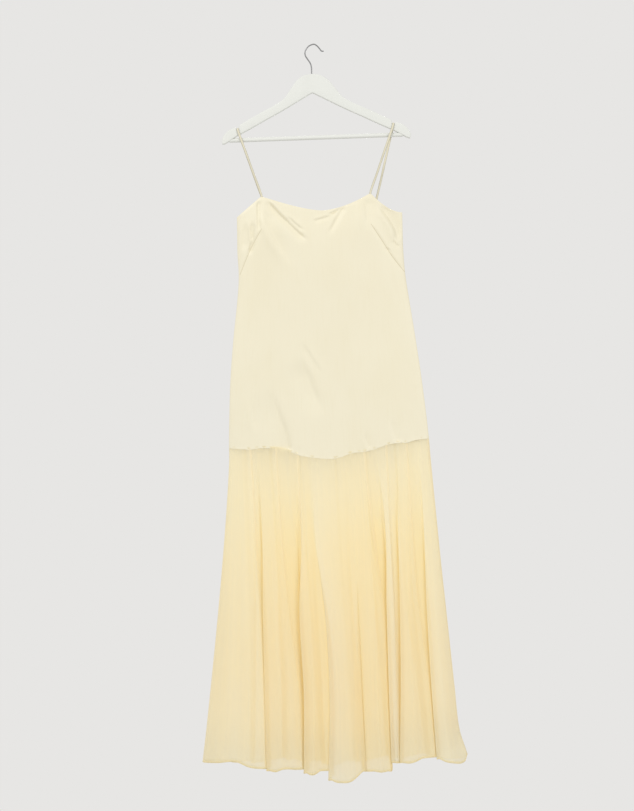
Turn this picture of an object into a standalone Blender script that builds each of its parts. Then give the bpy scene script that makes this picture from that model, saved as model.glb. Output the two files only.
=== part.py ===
"""Drop-waist maxi dress hanging flat on a notched wooden hanger.

Metres, +Z up. The front of the dress faces -Y and its left side in a front view is at -X. The origin
is the inside top of the hanger's hook, where a peg or rail carries it. Tables are in millimetres.
"""

import math
from enum import Enum
from typing import NamedTuple

import bmesh
import bpy
from mathutils import Vector

MM = 0.001
COLLECTION = "Drop-waist maxi dress"
CUTTER_COLLECTION = "Cutters"

# Cloth
SATIN_WALL = 1.2
CHIFFON_WALL = 1.0
SEAM_GAP = 0.3
LENS_POWER = 3.0
LENS_ROUND = 0.6

# Bodice
BODICE_ROWS = 28
BACK_ROWS = 12
MIN_COLUMN = 11.0
SIDE_COLUMNS = 18.0
STRAP_FLAT = 3.5
BUST_MOUND = 6.0
BUST_SPREAD = 55.0
BUST_INWARD = 0.85
BUST_ABOVE_DART = 20.0
DART_FADE = 0.75
SIDE_CURVE = 1.8
TOP_LEVEL = -370.0
SIDE_EASE = (0.90, 0.99)
WAIST_EASE = (0.5, 14.0)

# Skirt. The spans are shares of the way from waist to hem over which each change comes in.
SKIRT_ROWS = 8
CURL_SPAN = (0.05, 0.6)
DROP_SPAN = (0.0, 0.25)
BULGE_SPAN = (0.1, 1.0)
LOOP_STEPS = 2
FOLD_CLEARANCE = 5.0
FOLD_OPENING = 2.2
FOLD_LIFT = 9.0
CRISP_EASE = 7.0
CRISP_DROP = 1.6
CRISP_LIMIT = 0.3
DROP_LIMIT = 0.5
EASE_LIMIT = 0.34
CREST_BULGE = 7.0
FULL_CREST = 70.0
SKIRT_TOP = -950.0
SKIRT_BOTTOM = -1690.0
PROBE = 0.1
TANGENT_STEP = 0.02
FIRST_CREST = (0.02, 0.09, 0.28, 0.55, 1.0)
LAST_CREST = (0.0, 0.45, 0.75, 0.93, 0.985)

# Straps
STRAP_WIDTH = 5.0
STRAP_THICKNESS = 2.4
STRAP_SIDES = 8
STRAP_BEND = 3.0

# Hanger, measured from its own centre line
HANGER_X = -7.9
HANGER_TILT = 0.4
HANGER_UNEVEN = 0.026
HANGER_THICKNESS = 13.0
HANGER_ROUND = 2.4
NOTCH_X = 182.0
NOTCH_FLOOR = -192.0
BAR_HEIGHT = -217.0
BAR_RADIUS = 5.0
BAR_HALF_LENGTH = 203.0
BAR_RESOLUTION = 4
WIRE_RADIUS = 1.5
WIRE_RESOLUTION = 2
HOOK_SOCKET = 14.0
SOCKET_SIDES = 24
CURVE_STEPS = 2
WELD = 0.001
SHARP_ANGLE = 50.0


class Level(NamedTuple):
    """The outline of the dress at one height."""

    z: float
    half_width: float
    centre: float
    front: float
    back: float


LEVELS = (
    Level(z=-340.0, half_width=193.5, centre=0.5, front=8.0, back=7.5),
    Level(z=-400.0, half_width=193.7, centre=1.8, front=12.0, back=10.0),
    Level(z=-440.0, half_width=193.8, centre=1.5, front=16.0, back=12.0),
    Level(z=-480.0, half_width=194.2, centre=1.3, front=18.0, back=13.0),
    Level(z=-540.0, half_width=194.9, centre=3.6, front=18.0, back=13.0),
    Level(z=-600.0, half_width=201.5, centre=4.5, front=16.0, back=13.0),
    Level(z=-677.0, half_width=211.8, centre=4.7, front=14.0, back=13.5),
    Level(z=-776.0, half_width=223.0, centre=5.8, front=14.0, back=14.0),
    Level(z=-874.0, half_width=230.9, centre=8.0, front=15.0, back=15.5),
    Level(z=-931.0, half_width=234.3, centre=9.2, front=16.0, back=17.0),
    Level(z=-972.0, half_width=235.8, centre=10.0, front=18.0, back=19.0),
    Level(z=-1100.0, half_width=245.9, centre=9.0, front=27.0, back=28.0),
    Level(z=-1218.0, half_width=256.4, centre=7.0, front=35.0, back=35.0),
    Level(z=-1335.0, half_width=268.0, centre=4.9, front=42.0, back=42.0),
    Level(z=-1511.0, half_width=286.3, centre=0.8, front=52.0, back=51.0),
    Level(z=-1610.0, half_width=297.3, centre=-1.5, front=57.0, back=55.5),
    Level(z=-1675.0, half_width=311.0, centre=2.8, front=60.0, back=58.0),
    Level(z=-1740.0, half_width=317.0, centre=2.0, front=62.0, back=60.0),
)


class Edge(NamedTuple):
    """The top edge of a bodice panel. It peaks at the straps and skew moves its dip off centre."""

    left_strap: float
    right_strap: float
    strap_z: float
    dip: float
    bow: float
    left_side_z: float
    right_side_z: float
    skew: float


FRONT_EDGE = Edge(-131.7, 121.3, -353.6, 35.5, 1.6, -399.0, -398.0, 14.0)
BACK_EDGE = Edge(-124.5, 133.5, -378.0, 14.0, 2.0, -399.0, -398.0, 0.0)


class LinePoint(NamedTuple):
    """One point that a seam or hem line passes through."""

    x: float
    z: float


WAIST_FRONT = (
    LinePoint(-223.0, -939.0),
    LinePoint(-176.0, -943.0),
    LinePoint(-134.0, -941.0),
    LinePoint(-96.0, -946.0),
    LinePoint(-60.0, -960.0),
    LinePoint(-23.0, -967.0),
    LinePoint(12.0, -970.0),
    LinePoint(59.0, -958.5),
    LinePoint(109.0, -952.0),
    LinePoint(147.0, -940.0),
    LinePoint(192.0, -937.0),
    LinePoint(243.0, -929.0),
)
WAIST_BACK = (
    LinePoint(-223.0, -939.0),
    LinePoint(-70.0, -946.0),
    LinePoint(22.0, -950.0),
    LinePoint(93.0, -944.0),
    LinePoint(243.0, -929.0),
)


class Mark(NamedTuple):
    """A long soft trough or a stitched dart in the satin, from its deep end to its faint end."""

    x0: float
    z0: float
    x1: float
    z1: float
    depth: float
    half_width: float


# The point of each dart, its x1 and z1, also places the bust above it
DARTS = (
    Mark(-191.0, -533.0, -132.6, -427.0, 1.6, 7.0),
    Mark(197.0, -537.0, 121.5, -424.0, 1.6, 7.0),
)
FRONT_TROUGHS = (
    Mark(-118.0, -366.0, -26.0, -463.0, 3.2, 9.0),
    Mark(-74.0, -395.0, -33.0, -441.0, 2.0, 8.0),
    Mark(149.0, -372.0, 182.0, -466.0, 3.6, 9.0),
    Mark(-42.0, -768.0, 20.0, -862.0, 2.6, 13.0),
    Mark(-82.0, -943.0, -111.0, -827.0, 3.0, 13.0),
    Mark(62.0, -384.0, 20.0, -448.0, 1.8, 9.0),
)
BACK_TROUGHS = (
    Mark(-122.0, -390.0, -60.0, -520.0, 2.4, 14.0),
    Mark(128.0, -392.0, 66.0, -540.0, 2.4, 14.0),
    Mark(70.0, -930.0, 40.0, -780.0, 2.6, 16.0),
)


STATIONS = (0.0, 0.25, 0.5, 0.75, 1.0)


class Side(Enum):
    """A side of a fold, seen from the front of its own half, with the places of its lips."""

    LEFT = (0,)
    RIGHT = (4,)
    BOTH = (0, 4)
    NEITHER = ()


class Fold(NamedTuple):
    """An inward fold between two flutes of the skirt, given at five stations from waist to hem.

    shoulder is where the cloth on its left starts to fall away and gap the space from there to its right
    lip. The cloth slopes in from one side and comes back behind the other, crisp one. reach is its depth
    at the hem as a share of the room in front of the mid plane, and tuck how far it runs on behind the
    crisp lip. ease and drop say how far the cloth bends before it falls in, and how deep that bend lies,
    on the sloping side. It opens below the share of the way down that start gives.
    """

    shoulder: tuple
    gap: tuple
    reach: float
    tuck: float
    ease: float
    drop: float = 7.0
    crisp: Side = Side.RIGHT
    seam: Side = Side.LEFT
    start: float = 0.0


FRONT_FOLDS = (
    Fold((-172.0, -165.0, -160.0, -156.0, -157.0), (13.0, 12.0, 4.0, 2.0, 1.0), 0.82, 10.0, 9.0, 5.0),
    Fold(
        (-112.0, -105.0, -92.0, -74.0, -70.0),
        (50.0, 44.0, 21.0, 8.0, 1.0),
        0.88,
        12.0,
        20.0,
        seam=Side.BOTH,
    ),
    Fold(
        (-48.0, -34.0, -12.0, -7.0, -15.0),
        (14.0, 6.0, 4.0, 3.0, 2.0),
        0.70,
        14.0,
        24.0,
        5.0,
        seam=Side.NEITHER,
    ),
    Fold(
        (55.0, 63.0, 66.0, 69.0, 73.0),
        (14.0, 14.0, 8.0, 4.0, 2.0),
        0.27,
        9.0,
        26.0,
        crisp=Side.LEFT,
        seam=Side.NEITHER,
        start=0.4,
    ),
    Fold((93.0, 109.0, 127.0, 130.5, 134.0), (27.0, 26.0, 5.0, 3.0, 1.0), 0.88, 9.0, 10.0, 5.0),
    Fold((145.0, 148.5, 153.0, 154.0, 153.0), (27.0, 16.0, 10.0, 6.0, 1.0), 0.75, 10.0, 5.0, 5.0),
    Fold((193.0, 200.0, 210.0, 229.0, 240.0), (26.0, 25.0, 16.0, 4.0, 1.0), 0.80, 9.0, 20.0),
)
BACK_FOLDS = (
    Fold((-186.0, -184.0, -184.0, -188.0, -194.0), (16.0, 15.0, 7.0, 4.0, 1.0), 0.80, 9.0, 12.0),
    Fold(
        (-126.0, -120.0, -114.0, -108.0, -110.0),
        (24.0, 26.0, 12.0, 5.0, 1.0),
        0.90,
        11.0,
        20.0,
        crisp=Side.LEFT,
    ),
    Fold((-58.0, -52.0, -42.0, -34.0, -28.0), (26.0, 22.0, 9.0, 4.0, 1.0), 0.86, 10.0, 18.0),
    Fold((26.0, 30.0, 38.0, 46.0, 50.0), (24.0, 20.0, 9.0, 4.0, 1.0), 0.92, 12.0, 22.0),
    Fold(
        (98.0, 104.0, 112.0, 124.0, 132.0),
        (26.0, 26.0, 14.0, 5.0, 1.0),
        0.82,
        9.0,
        16.0,
        crisp=Side.LEFT,
    ),
    Fold((166.0, 174.0, 184.0, 204.0, 220.0), (24.0, 20.0, 12.0, 5.0, 1.0), 0.80, 9.0, 12.0),
)


class FoldPoint(NamedTuple):
    """A point inside a fold, as shares of the way across, of the tuck and of the depth."""

    across: float
    tuck: float
    depth: float


SLOPING_WALL = FoldPoint(0.5, 0.3, 0.6)
FLOOR = FoldPoint(0.75, 0.7, 1.0)
CRISP_WALL = FoldPoint(0.9, 1.0, 0.5)


class Flute(NamedTuple):
    """The cloth between two folds: how many points shape its crest, and its hem at five shares across."""

    crest_points: int
    hem: tuple


HEM_SHARES = (0.0, 0.25, 0.5, 0.75, 1.0)
FRONT_FLUTES = (
    Flute(3, (-1671.0, -1669.0, -1667.0, -1671.0, -1682.0)),
    Flute(1, (-1687.0, -1689.0, -1686.0, -1683.0, -1685.0)),
    Flute(1, (-1694.0, -1697.0, -1697.0, -1694.0, -1690.0)),
    Flute(3, (-1712.0, -1718.0, -1716.0, -1710.0, -1694.0)),
    Flute(1, (-1694.0, -1695.0, -1696.0, -1696.0, -1695.0)),
    Flute(1, (-1676.0, -1676.0, -1676.5, -1677.0, -1677.0)),
    Flute(1, (-1677.0, -1678.0, -1675.0, -1669.0, -1668.0)),
    Flute(3, (-1673.0, -1680.0, -1684.0, -1685.5, -1669.0)),
)
BACK_FLUTES = (
    Flute(3, (-1671.0, -1672.0, -1674.0, -1680.0, -1678.0)),
    Flute(1, (-1684.0, -1683.0, -1681.0, -1677.0, -1674.0)),
    Flute(1, (-1679.0, -1683.0, -1688.0, -1687.0, -1684.0)),
    Flute(1, (-1692.0, -1695.0, -1696.0, -1692.0, -1686.0)),
    Flute(1, (-1690.0, -1688.0, -1685.0, -1681.0, -1676.0)),
    Flute(1, (-1682.0, -1681.0, -1680.0, -1676.0, -1672.0)),
    Flute(3, (-1678.0, -1682.0, -1684.5, -1682.0, -1669.0)),
)


class SoftFold(NamedTuple):
    """A shallow rounded dip down the face of one flute, at the five stations."""

    x: tuple
    depth: tuple
    half_width: float


FRONT_SOFT = (SoftFold((-215.0, -215.0, -215.0, -217.0, -212.0), (0.0, 0.0, 1.0, 4.0, 7.0), 20.0),)
BACK_SOFT = (
    SoftFold((-10.0, -8.0, -4.0, 2.0, 8.0), (0.0, 1.0, 3.0, 5.0, 7.0), 16.0),
    SoftFold((246.0, 248.0, 252.0, 262.0, 270.0), (0.0, 0.0, 1.0, 3.0, 5.0), 14.0),
)


class Half(NamedTuple):
    """The front or the back of the dress. facing is the sign of y on that side."""

    name: str
    facing: float
    edge: Edge
    waist: tuple
    folds: tuple
    flutes: tuple
    soft: tuple
    troughs: tuple
    rows: int


FRONT = Half(
    "front",
    -1.0,
    FRONT_EDGE,
    WAIST_FRONT,
    FRONT_FOLDS,
    FRONT_FLUTES,
    FRONT_SOFT,
    FRONT_TROUGHS,
    BODICE_ROWS,
)
BACK = Half("back", 1.0, BACK_EDGE, WAIST_BACK, BACK_FOLDS, BACK_FLUTES, BACK_SOFT, BACK_TROUGHS, BACK_ROWS)


# Colours of the finishes: base colour, roughness, metallic
SATIN_CREAM = ("satin", (0.87, 0.80, 0.61), 0.38, 0.0)
CHIFFON_YELLOW = ("chiffon", (0.87, 0.72, 0.40), 0.75, 0.0)
WHITE_PAINT = ("white_paint", (0.82, 0.83, 0.79), 0.45, 0.0)
BRIGHT_STEEL = ("bright_steel", (0.62, 0.62, 0.62), 0.25, 1.0)


# Curves and interpolation


def mix(a, b, share):
    return a + (b - a) * share


def ramp(low, high, value):
    """A smooth step from 0 at low to 1 at high."""
    share = min(max((value - low) / (high - low), 0.0), 1.0)
    return share * share * (3.0 - 2.0 * share)


def along(stations, values, at):
    """The value at a station on a smooth curve through the given values."""
    count = len(stations)
    at = min(max(at, stations[0]), stations[-1])
    index = max(i for i in range(count - 1) if stations[i] <= at)

    def slope(i):
        low, high = max(i - 1, 0), min(i + 1, count - 1)
        return (values[high] - values[low]) / (stations[high] - stations[low])

    span = stations[index + 1] - stations[index]
    f = (at - stations[index]) / span
    start, end = values[index], values[index + 1]
    return (
        start * (2 * f**3 - 3 * f**2 + 1)
        + end * (3 * f**2 - 2 * f**3)
        + slope(index) * span * (f**3 - 2 * f**2 + f)
        + slope(index + 1) * span * (f**3 - f**2)
    )


def spline_point(points, position):
    """A point on the centripetal spline through points of any dimension, at a knot position such as 2.5."""
    index = min(int(position), len(points) - 2)
    start, end = points[index], points[index + 1]
    before = points[index - 1] if index > 0 else [2 * a - b for a, b in zip(start, end)]
    after = points[index + 2] if index + 2 < len(points) else [2 * b - a for a, b in zip(start, end)]
    knots = [0.0]
    for a, b in ((before, start), (start, end), (end, after)):
        knots.append(knots[-1] + max(math.dist(a, b), 1e-6) ** 0.5)
    at = mix(knots[1], knots[2], position - index)

    def blend(a, b, low, high):
        low, high = knots[low], knots[high]
        return [((high - at) * p + (at - low) * q) / (high - low) for p, q in zip(a, b)]

    middle = blend(start, end, 1, 2)
    left = blend(blend(before, start, 0, 1), middle, 0, 2)
    right = blend(middle, blend(end, after, 2, 3), 1, 3)
    return blend(left, right, 1, 2)


def smooth_line(points, steps):
    """Points read from a smooth curve through the given ones, steps to a span."""
    line = [spline_point(points, i / steps) for i in range((len(points) - 1) * steps)]
    return line + [list(points[-1])]


# The outline of the dress


def level(z, column):
    """One column of the level table at a height."""
    rows = sorted(LEVELS)
    return along([row.z for row in rows], [getattr(row, column) for row in rows], z)


def line_z(line, x):
    """The height of a seam or hem line at x."""
    return along([point.x for point in line], [point.z for point in line], x)


def lens(u):
    """Share of the full depth at a share u of the half width, falling to nothing at the side seams."""
    return max(1.0 - abs(u) ** LENS_POWER, 0.0) ** LENS_ROUND


def depth_at(half, u, z):
    """How far the cloth stands from the mid plane."""
    return max(level(z, half.name) * lens(u), SEAM_GAP / 2)


def top_z(edge, x, left_side, right_side):
    """The height of a bodice panel's top edge at x."""
    if x < edge.left_strap - STRAP_FLAT:
        share = (edge.left_strap - STRAP_FLAT - x) / (edge.left_strap - STRAP_FLAT - left_side)
        return mix(edge.strap_z, edge.left_side_z, share)
    if x > edge.right_strap + STRAP_FLAT:
        share = (x - edge.right_strap - STRAP_FLAT) / (right_side - edge.right_strap - STRAP_FLAT)
        return mix(edge.strap_z, edge.right_side_z, 1.0 - (1.0 - share) ** SIDE_CURVE)
    inner = (edge.right_strap - edge.left_strap) / 2 - STRAP_FLAT
    across = (x - (edge.left_strap + edge.right_strap) / 2) / inner
    if abs(across) >= 1.0:
        return edge.strap_z
    across -= edge.skew / inner * (1.0 - across**2)
    return edge.strap_z - edge.dip * (1.0 - abs(across) ** edge.bow)


def mark_depth(mark, x, z):
    """How deep a mark presses the cloth in at a point, fading towards the mark's far end."""
    along_x, along_z = mark.x1 - mark.x0, mark.z1 - mark.z0
    share = ((x - mark.x0) * along_x + (z - mark.z0) * along_z) / (along_x**2 + along_z**2)
    share = min(max(share, 0.0), 1.0)
    distance = math.hypot(x - mark.x0 - share * along_x, z - mark.z0 - share * along_z)
    fade = 1.0 - DART_FADE * share
    return mark.depth * fade * math.exp(-((distance / mark.half_width) ** 2))


def waist_place(half, x):
    """Depth and height of the waist seam at x."""
    z = line_z(half.waist, x)
    u = (x - level(z, "centre")) / level(z, "half_width")
    return depth_at(half, u, z), z


def side_x(half, side, t):
    """x of a side seam at a share t of the way from waist to hem."""
    waist_z = half.waist[0 if side < 0 else -1].z
    hem_z = half.flutes[0].hem[0] if side < 0 else half.flutes[-1].hem[-1]
    z = mix(waist_z, hem_z, t)
    return level(z, "centre") + side * level(z, "half_width")


def bodice_columns(half):
    """Pairs of shares of the half width where a bodice panel's columns start and end.

    At the waist they are some of the skirt's own columns, so the two edges run along each other. At the
    top two of them stand beside each strap.
    """
    knots = [point[0] for point in skirt_section(half, 0.0).points]
    kept = [knots[0]]
    for x in knots[1:-1]:
        beside_seam = x - knots[0] < SIDE_COLUMNS or knots[-1] - x < SIDE_COLUMNS
        if beside_seam or (x - kept[-1] >= MIN_COLUMN and knots[-1] - x >= MIN_COLUMN):
            kept.append(x)
    kept.append(knots[-1])
    centre, width = (knots[0] + knots[-1]) / 2, (knots[-1] - knots[0]) / 2
    low = [(x - centre) / width for x in kept]
    top_centre, top_width = level(half.edge.strap_z, "centre"), level(half.edge.strap_z, "half_width")
    anchors = [(0, -1.0)]
    for strap in (half.edge.left_strap, half.edge.right_strap):
        u = (strap - top_centre) / top_width
        near = min(range(1, len(low) - 2), key=lambda j: abs((low[j] + low[j + 1]) / 2 - u))
        anchors += [(near, u - STRAP_FLAT / top_width), (near + 1, u + STRAP_FLAT / top_width)]
    anchors.append((len(low) - 1, 1.0))
    high = []
    for (first, u0), (last, u1) in zip(anchors, anchors[1:]):
        for j in range(first, last):
            high.append(mix(u0, u1, (low[j] - low[first]) / (low[last] - low[first])))
    return list(zip([*high, 1.0], low))


def waist_line(half):
    """x, depth and height of the waist seam at the bodice's columns."""
    left, right = side_x(half, -1, 0.0), side_x(half, 1, 0.0)
    line = []
    for _, u in bodice_columns(half):
        x = mix(left, right, (u + 1.0) / 2)
        line.append((x, *waist_place(half, x)))
    return line


def on_waist(line, x):
    """Depth and height of the waist seam at x, on the straight runs between the bodice's columns."""
    for a, b in zip(line, line[1:]):
        if x <= b[0] or b is line[-1]:
            share = min(max((x - a[0]) / (b[0] - a[0]), 0.0), 1.0)
            return mix(a[1], b[1], share), mix(a[2], b[2], share)
    return line[-1][1], line[-1][2]


# Solids


def wall(name, rows, facing, thickness):
    """A closed wall round rows of points (x, depth, z, normal x, normal depth), top row first."""
    mesh = bpy.data.meshes.new(name)
    shell = bmesh.new()
    skins = []
    for side in (0.5, -0.5):
        skin = []
        for row in rows:
            line = []
            for x, depth, z, normal_x, normal_depth in row:
                offset = side * thickness
                place = Vector((x + normal_x * offset, facing * (depth + normal_depth * offset), z))
                line.append(shell.verts.new(place * MM))
            skin.append(line)
        skins.append(skin)
    outer, inner = skins
    last_row, last_column = len(rows) - 1, len(rows[0]) - 1

    def quad(a, b, c, d):
        corners = (a, b, c, d) if facing > 0 else (d, c, b, a)
        shell.faces.new((corners[0], corners[1], corners[2]))
        shell.faces.new((corners[0], corners[2], corners[3]))

    for i in range(last_row):
        for j in range(last_column):
            block = [(i, j), (i, j + 1), (i + 1, j + 1), (i + 1, j)]
            quad(*[outer[r][c] for r, c in block])
            quad_inner = [inner[r][c] for r, c in block]
            flipped = (quad_inner[0], quad_inner[3], quad_inner[2], quad_inner[1])
            quad(*flipped)
    for i in range(last_row):
        quad(outer[i][0], outer[i + 1][0], inner[i + 1][0], inner[i][0])
        quad(outer[i][-1], inner[i][-1], inner[i + 1][-1], outer[i + 1][-1])
    for j in range(last_column):
        quad(outer[0][j], inner[0][j], inner[0][j + 1], outer[0][j + 1])
        quad(outer[-1][j], outer[-1][j + 1], inner[-1][j + 1], inner[-1][j])
    shell.normal_update()
    shell.to_mesh(mesh)
    shell.free()
    return place_object(name, mesh)


def place_object(name, data):
    thing = bpy.data.objects.new(name, data)
    bpy.data.collections[COLLECTION].objects.link(thing)
    return thing


def finish(thing, look):
    """Gives an object its own material and smooth shading."""
    title, colour, roughness, metallic = look
    material = bpy.data.materials.new(f"{title}_{thing.name}")
    material.use_nodes = True
    shader = material.node_tree.nodes["Principled BSDF"]
    shader.inputs["Base Color"].default_value = (*colour, 1.0)
    shader.inputs["Roughness"].default_value = roughness
    shader.inputs["Metallic"].default_value = metallic
    thing.data.materials.clear()
    thing.data.materials.append(material)
    if isinstance(thing.data, bpy.types.Mesh):
        thing.data.shade_smooth()
        thing.data.set_sharp_from_angle(angle=math.radians(SHARP_ANGLE))
    return thing


# Bodice


def bodice_depth(half, u, x, z):
    """Depth of a bodice panel: its lens section, the bust above the darts, and its troughs."""
    depth = depth_at(half, u, z)
    inside = 1.0 - ramp(*SIDE_EASE, abs(u))
    if half is FRONT:
        for dart in DARTS:
            distance = math.hypot(x - dart.x1 * BUST_INWARD, z - dart.z1 + BUST_ABOVE_DART)
            depth += BUST_MOUND * inside * math.exp(-((distance / BUST_SPREAD) ** 2))
        depth -= sum(mark_depth(dart, x, z) for dart in DARTS) * inside
    depth -= sum(mark_depth(mark, x, z) for mark in half.troughs) * inside
    hem_ease = ramp(*WAIST_EASE, z - line_z(half.waist, x))
    return max(mix(depth_at(half, u, z), depth, hem_ease), SEAM_GAP / 2)


def with_normals(line):
    """Adds plan normals to a row of (x, depth, z). The two ends face straight out at the side seams."""
    row = []
    for j, (x, depth, z) in enumerate(line):
        if j in (0, len(line) - 1):
            normal = (-1.0 if j == 0 else 1.0, 0.0)
        else:
            before, after = line[j - 1], line[j + 1]
            tangent = Vector((after[0] - before[0], after[1] - before[1])).normalized()
            normal = (-tangent.y, tangent.x)
        row.append((x, depth, z, *normal))
    return row


def build_bodice(half):
    """One satin panel from its top edge to the drop waist."""
    columns = bodice_columns(half)
    bottom = waist_line(half)
    sides = []
    for side, side_z in ((-1, half.edge.left_side_z), (1, half.edge.right_side_z)):
        sides.append(level(side_z, "centre") + side * level(side_z, "half_width"))
    rows = []
    for i in range(half.rows + 1):
        share = i / half.rows
        line = []
        for (u_top, u_low), (seam_x, _, seam_z) in zip(columns, bottom):
            top_x = level(TOP_LEVEL, "centre") + u_top * level(TOP_LEVEL, "half_width")
            z = mix(top_z(half.edge, top_x, *sides), seam_z + SEAM_GAP, share)
            u = mix(u_top, u_low, share)
            x = seam_x if i == half.rows else level(z, "centre") + u * level(z, "half_width")
            depth = SEAM_GAP / 2 if abs(u) == 1.0 else bodice_depth(half, u, x, z)
            line.append((x, depth, z))
        rows.append(with_normals(line))
    return wall(f"bodice_{half.name}", rows, half.facing, SATIN_WALL)


# Skirt


class Section(NamedTuple):
    """Control points of one half of the skirt at one station, what each gives the hem, and its seams."""

    points: list
    hem: list
    seams: list


def fold_points(fold, t, room):
    """The five points of a fold: left lip, left wall, floor, right wall and right lip."""
    left = along(STATIONS, fold.shoulder, t)
    right = left + along(STATIONS, fold.gap, t)
    curl = ramp(*CURL_SPAN, t)
    opened = 1.0 - (1.0 - max(t - fold.start, 0.0) / (1.0 - fold.start)) ** FOLD_OPENING
    depth = fold.reach * opened * max(room((left + right) / 2) - FOLD_CLEARANCE, 0.0)
    drop = min(fold.drop * ramp(*DROP_SPAN, t), depth * DROP_LIMIT)
    crisp = min(CRISP_DROP * curl, depth * CRISP_LIMIT)
    tuck = fold.tuck * curl * opened
    behind, edge, slope = (1.0, right, left) if fold.crisp is Side.RIGHT else (-1.0, left, right)

    def inside(point, lip_depth):
        x = mix(mix(slope, edge, point.across), edge + behind * tuck * point.tuck, curl)
        return [x, room(edge) - mix(lip_depth, depth, point.depth)]

    points = [
        [slope, room(slope) - drop],
        inside(SLOPING_WALL, drop),
        inside(FLOOR, crisp),
        inside(CRISP_WALL, crisp),
        [edge, room(edge) - crisp],
    ]
    return points if fold.crisp is Side.RIGHT else points[::-1]


def crest_points(half, index, start, end, room, t):
    """Points across one flute from fold to fold, each with its height at the hem."""
    first, last = index == 0, index == len(half.folds)
    flute = half.flutes[index]
    limit = EASE_LIMIT * (end - start)
    left_ease = right_ease = CRISP_EASE
    if not first and half.folds[index - 1].crisp is Side.LEFT:
        left_ease = half.folds[index - 1].ease
    if not last and half.folds[index].crisp is Side.RIGHT:
        right_ease = half.folds[index].ease
    near = start if first else start + min(left_ease, limit)
    far = end if last else end - min(right_ease, limit)
    count = flute.crest_points + 1
    shares = [k / count for k in range(count + 1)]
    if first:
        shares = FIRST_CREST
    elif last:
        shares = LAST_CREST
    bulge = CREST_BULGE * ramp(*BULGE_SPAN, t) * min((end - start) / FULL_CREST, 1.0)
    for share in shares:
        x = mix(near, far, share)
        depth = room(x) + bulge * math.sin(math.pi * share) ** 2
        yield [x, depth], along(HEM_SHARES, flute.hem, share)


def skirt_section(half, t):
    """Works out where the cloth of one half runs at a station."""
    left, right = side_x(half, -1, t), side_x(half, 1, t)
    centre, width = (left + right) / 2, (right - left) / 2
    z_mean = mix(SKIRT_TOP, SKIRT_BOTTOM, t)

    def room(x):
        if t == 0.0:
            return waist_place(half, x)[0]
        return max(level(z_mean, half.name) * lens((x - centre) / width), SEAM_GAP / 2)

    folds = [fold_points(fold, t, room) for fold in half.folds]
    points, hem, seams = [[left, SEAM_GAP / 2]], [half.flutes[0].hem[0]], []
    for index in range(len(folds) + 1):
        start = left if index == 0 else folds[index - 1][-1][0]
        end = right if index == len(folds) else folds[index][0][0]
        for point, height in crest_points(half, index, start, end, room, t):
            points.append(point)
            hem.append(height)
        if index == len(folds):
            continue
        seams += [len(points) + place for place in half.folds[index].seam.value]
        before, after = half.flutes[index].hem[-1], half.flutes[index + 1].hem[0]
        for share, point in zip(STATIONS, folds[index]):
            points.append(point)
            hem.append(mix(before, after, share) + FOLD_LIFT * math.sin(math.pi * share))
    points.append([right, SEAM_GAP / 2])
    hem.append(half.flutes[-1].hem[-1])
    for soft in half.soft:
        middle, dip = along(STATIONS, soft.x, t), along(STATIONS, soft.depth, t)
        for point in points[1:-1]:
            point[1] -= dip * math.exp(-(((point[0] - middle) / soft.half_width) ** 2))
    return Section(points, hem, seams)


def section_place(points, position):
    """Point and outward plan normal on a skirt section. The ends face straight out."""
    ends = [[points[1][0], -points[1][1]], [points[-2][0], -points[-2][1]]]
    run = [ends[0], *points, ends[1]]
    at = position + 1.0
    here = spline_point(run, at)
    if position in (0.0, len(points) - 1.0):
        return here, (-1.0 if position == 0.0 else 1.0, 0.0)
    before, after = spline_point(run, at - TANGENT_STEP), spline_point(run, at + TANGENT_STEP)
    tangent = Vector((after[0] - before[0], after[1] - before[1])).normalized()
    return here, (-tangent.y, tangent.x)


def gore_positions(points, start, end, is_first, is_last):
    """Knot positions of a gore's columns, held back from its seams by half the seam gap."""
    steps = (end - start) * LOOP_STEPS
    positions = [start + k / LOOP_STEPS for k in range(steps + 1)]
    for index, inward in ((0, PROBE), (-1, -PROBE)):
        if (index == 0 and is_first) or (index == -1 and is_last):
            continue
        at = positions[index]
        speed = math.dist(spline_point(points, at), spline_point(points, at + inward)) / PROBE
        positions[index] = at + math.copysign(SEAM_GAP / 2 / speed, inward)
    return positions


def gore_rows(sections, bottom, start, end, is_first, is_last):
    """Rows of points for one gore, from the drop waist to the hem."""
    places, positions = [], []
    for section in sections:
        positions = gore_positions(section.points, start, end, is_first, is_last)
        places.append([section_place(section.points, at) for at in positions])
    knots = range(len(sections[-1].hem))
    hem = [along(knots, sections[-1].hem, at) for at in positions]
    tops = [on_waist(bottom, place[0]) for place, _ in places[0]]
    rows = []
    for i, line in enumerate(places):
        row = []
        for ((x, depth), normal), (seam_depth, seam_z), hem_z in zip(line, tops, hem):
            z = mix(seam_z, hem_z, i / SKIRT_ROWS)
            row.append((x, seam_depth if i == 0 else depth, z, *normal))
        rows.append(row)
    return rows


def build_skirt(half):
    """The gores of one half, each from the drop waist to the hem and from seam to seam."""
    bottom = waist_line(half)
    sections = [skirt_section(half, i / SKIRT_ROWS) for i in range(SKIRT_ROWS + 1)]
    cuts = [0, *sections[0].seams, len(sections[0].points) - 1]
    last = len(cuts) - 2
    made = []
    for index, (start, end) in enumerate(zip(cuts, cuts[1:])):
        rows = gore_rows(sections, bottom, start, end, index == 0, index == last)
        made.append(wall(f"skirt_{half.name}_{index + 1}", rows, half.facing, CHIFFON_WALL))
    return made


# Straps


def stretch(x):
    """Makes the hanger's right arm slightly longer and its left one shorter."""
    return x * (1.0 + math.copysign(HANGER_UNEVEN, x))


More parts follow.
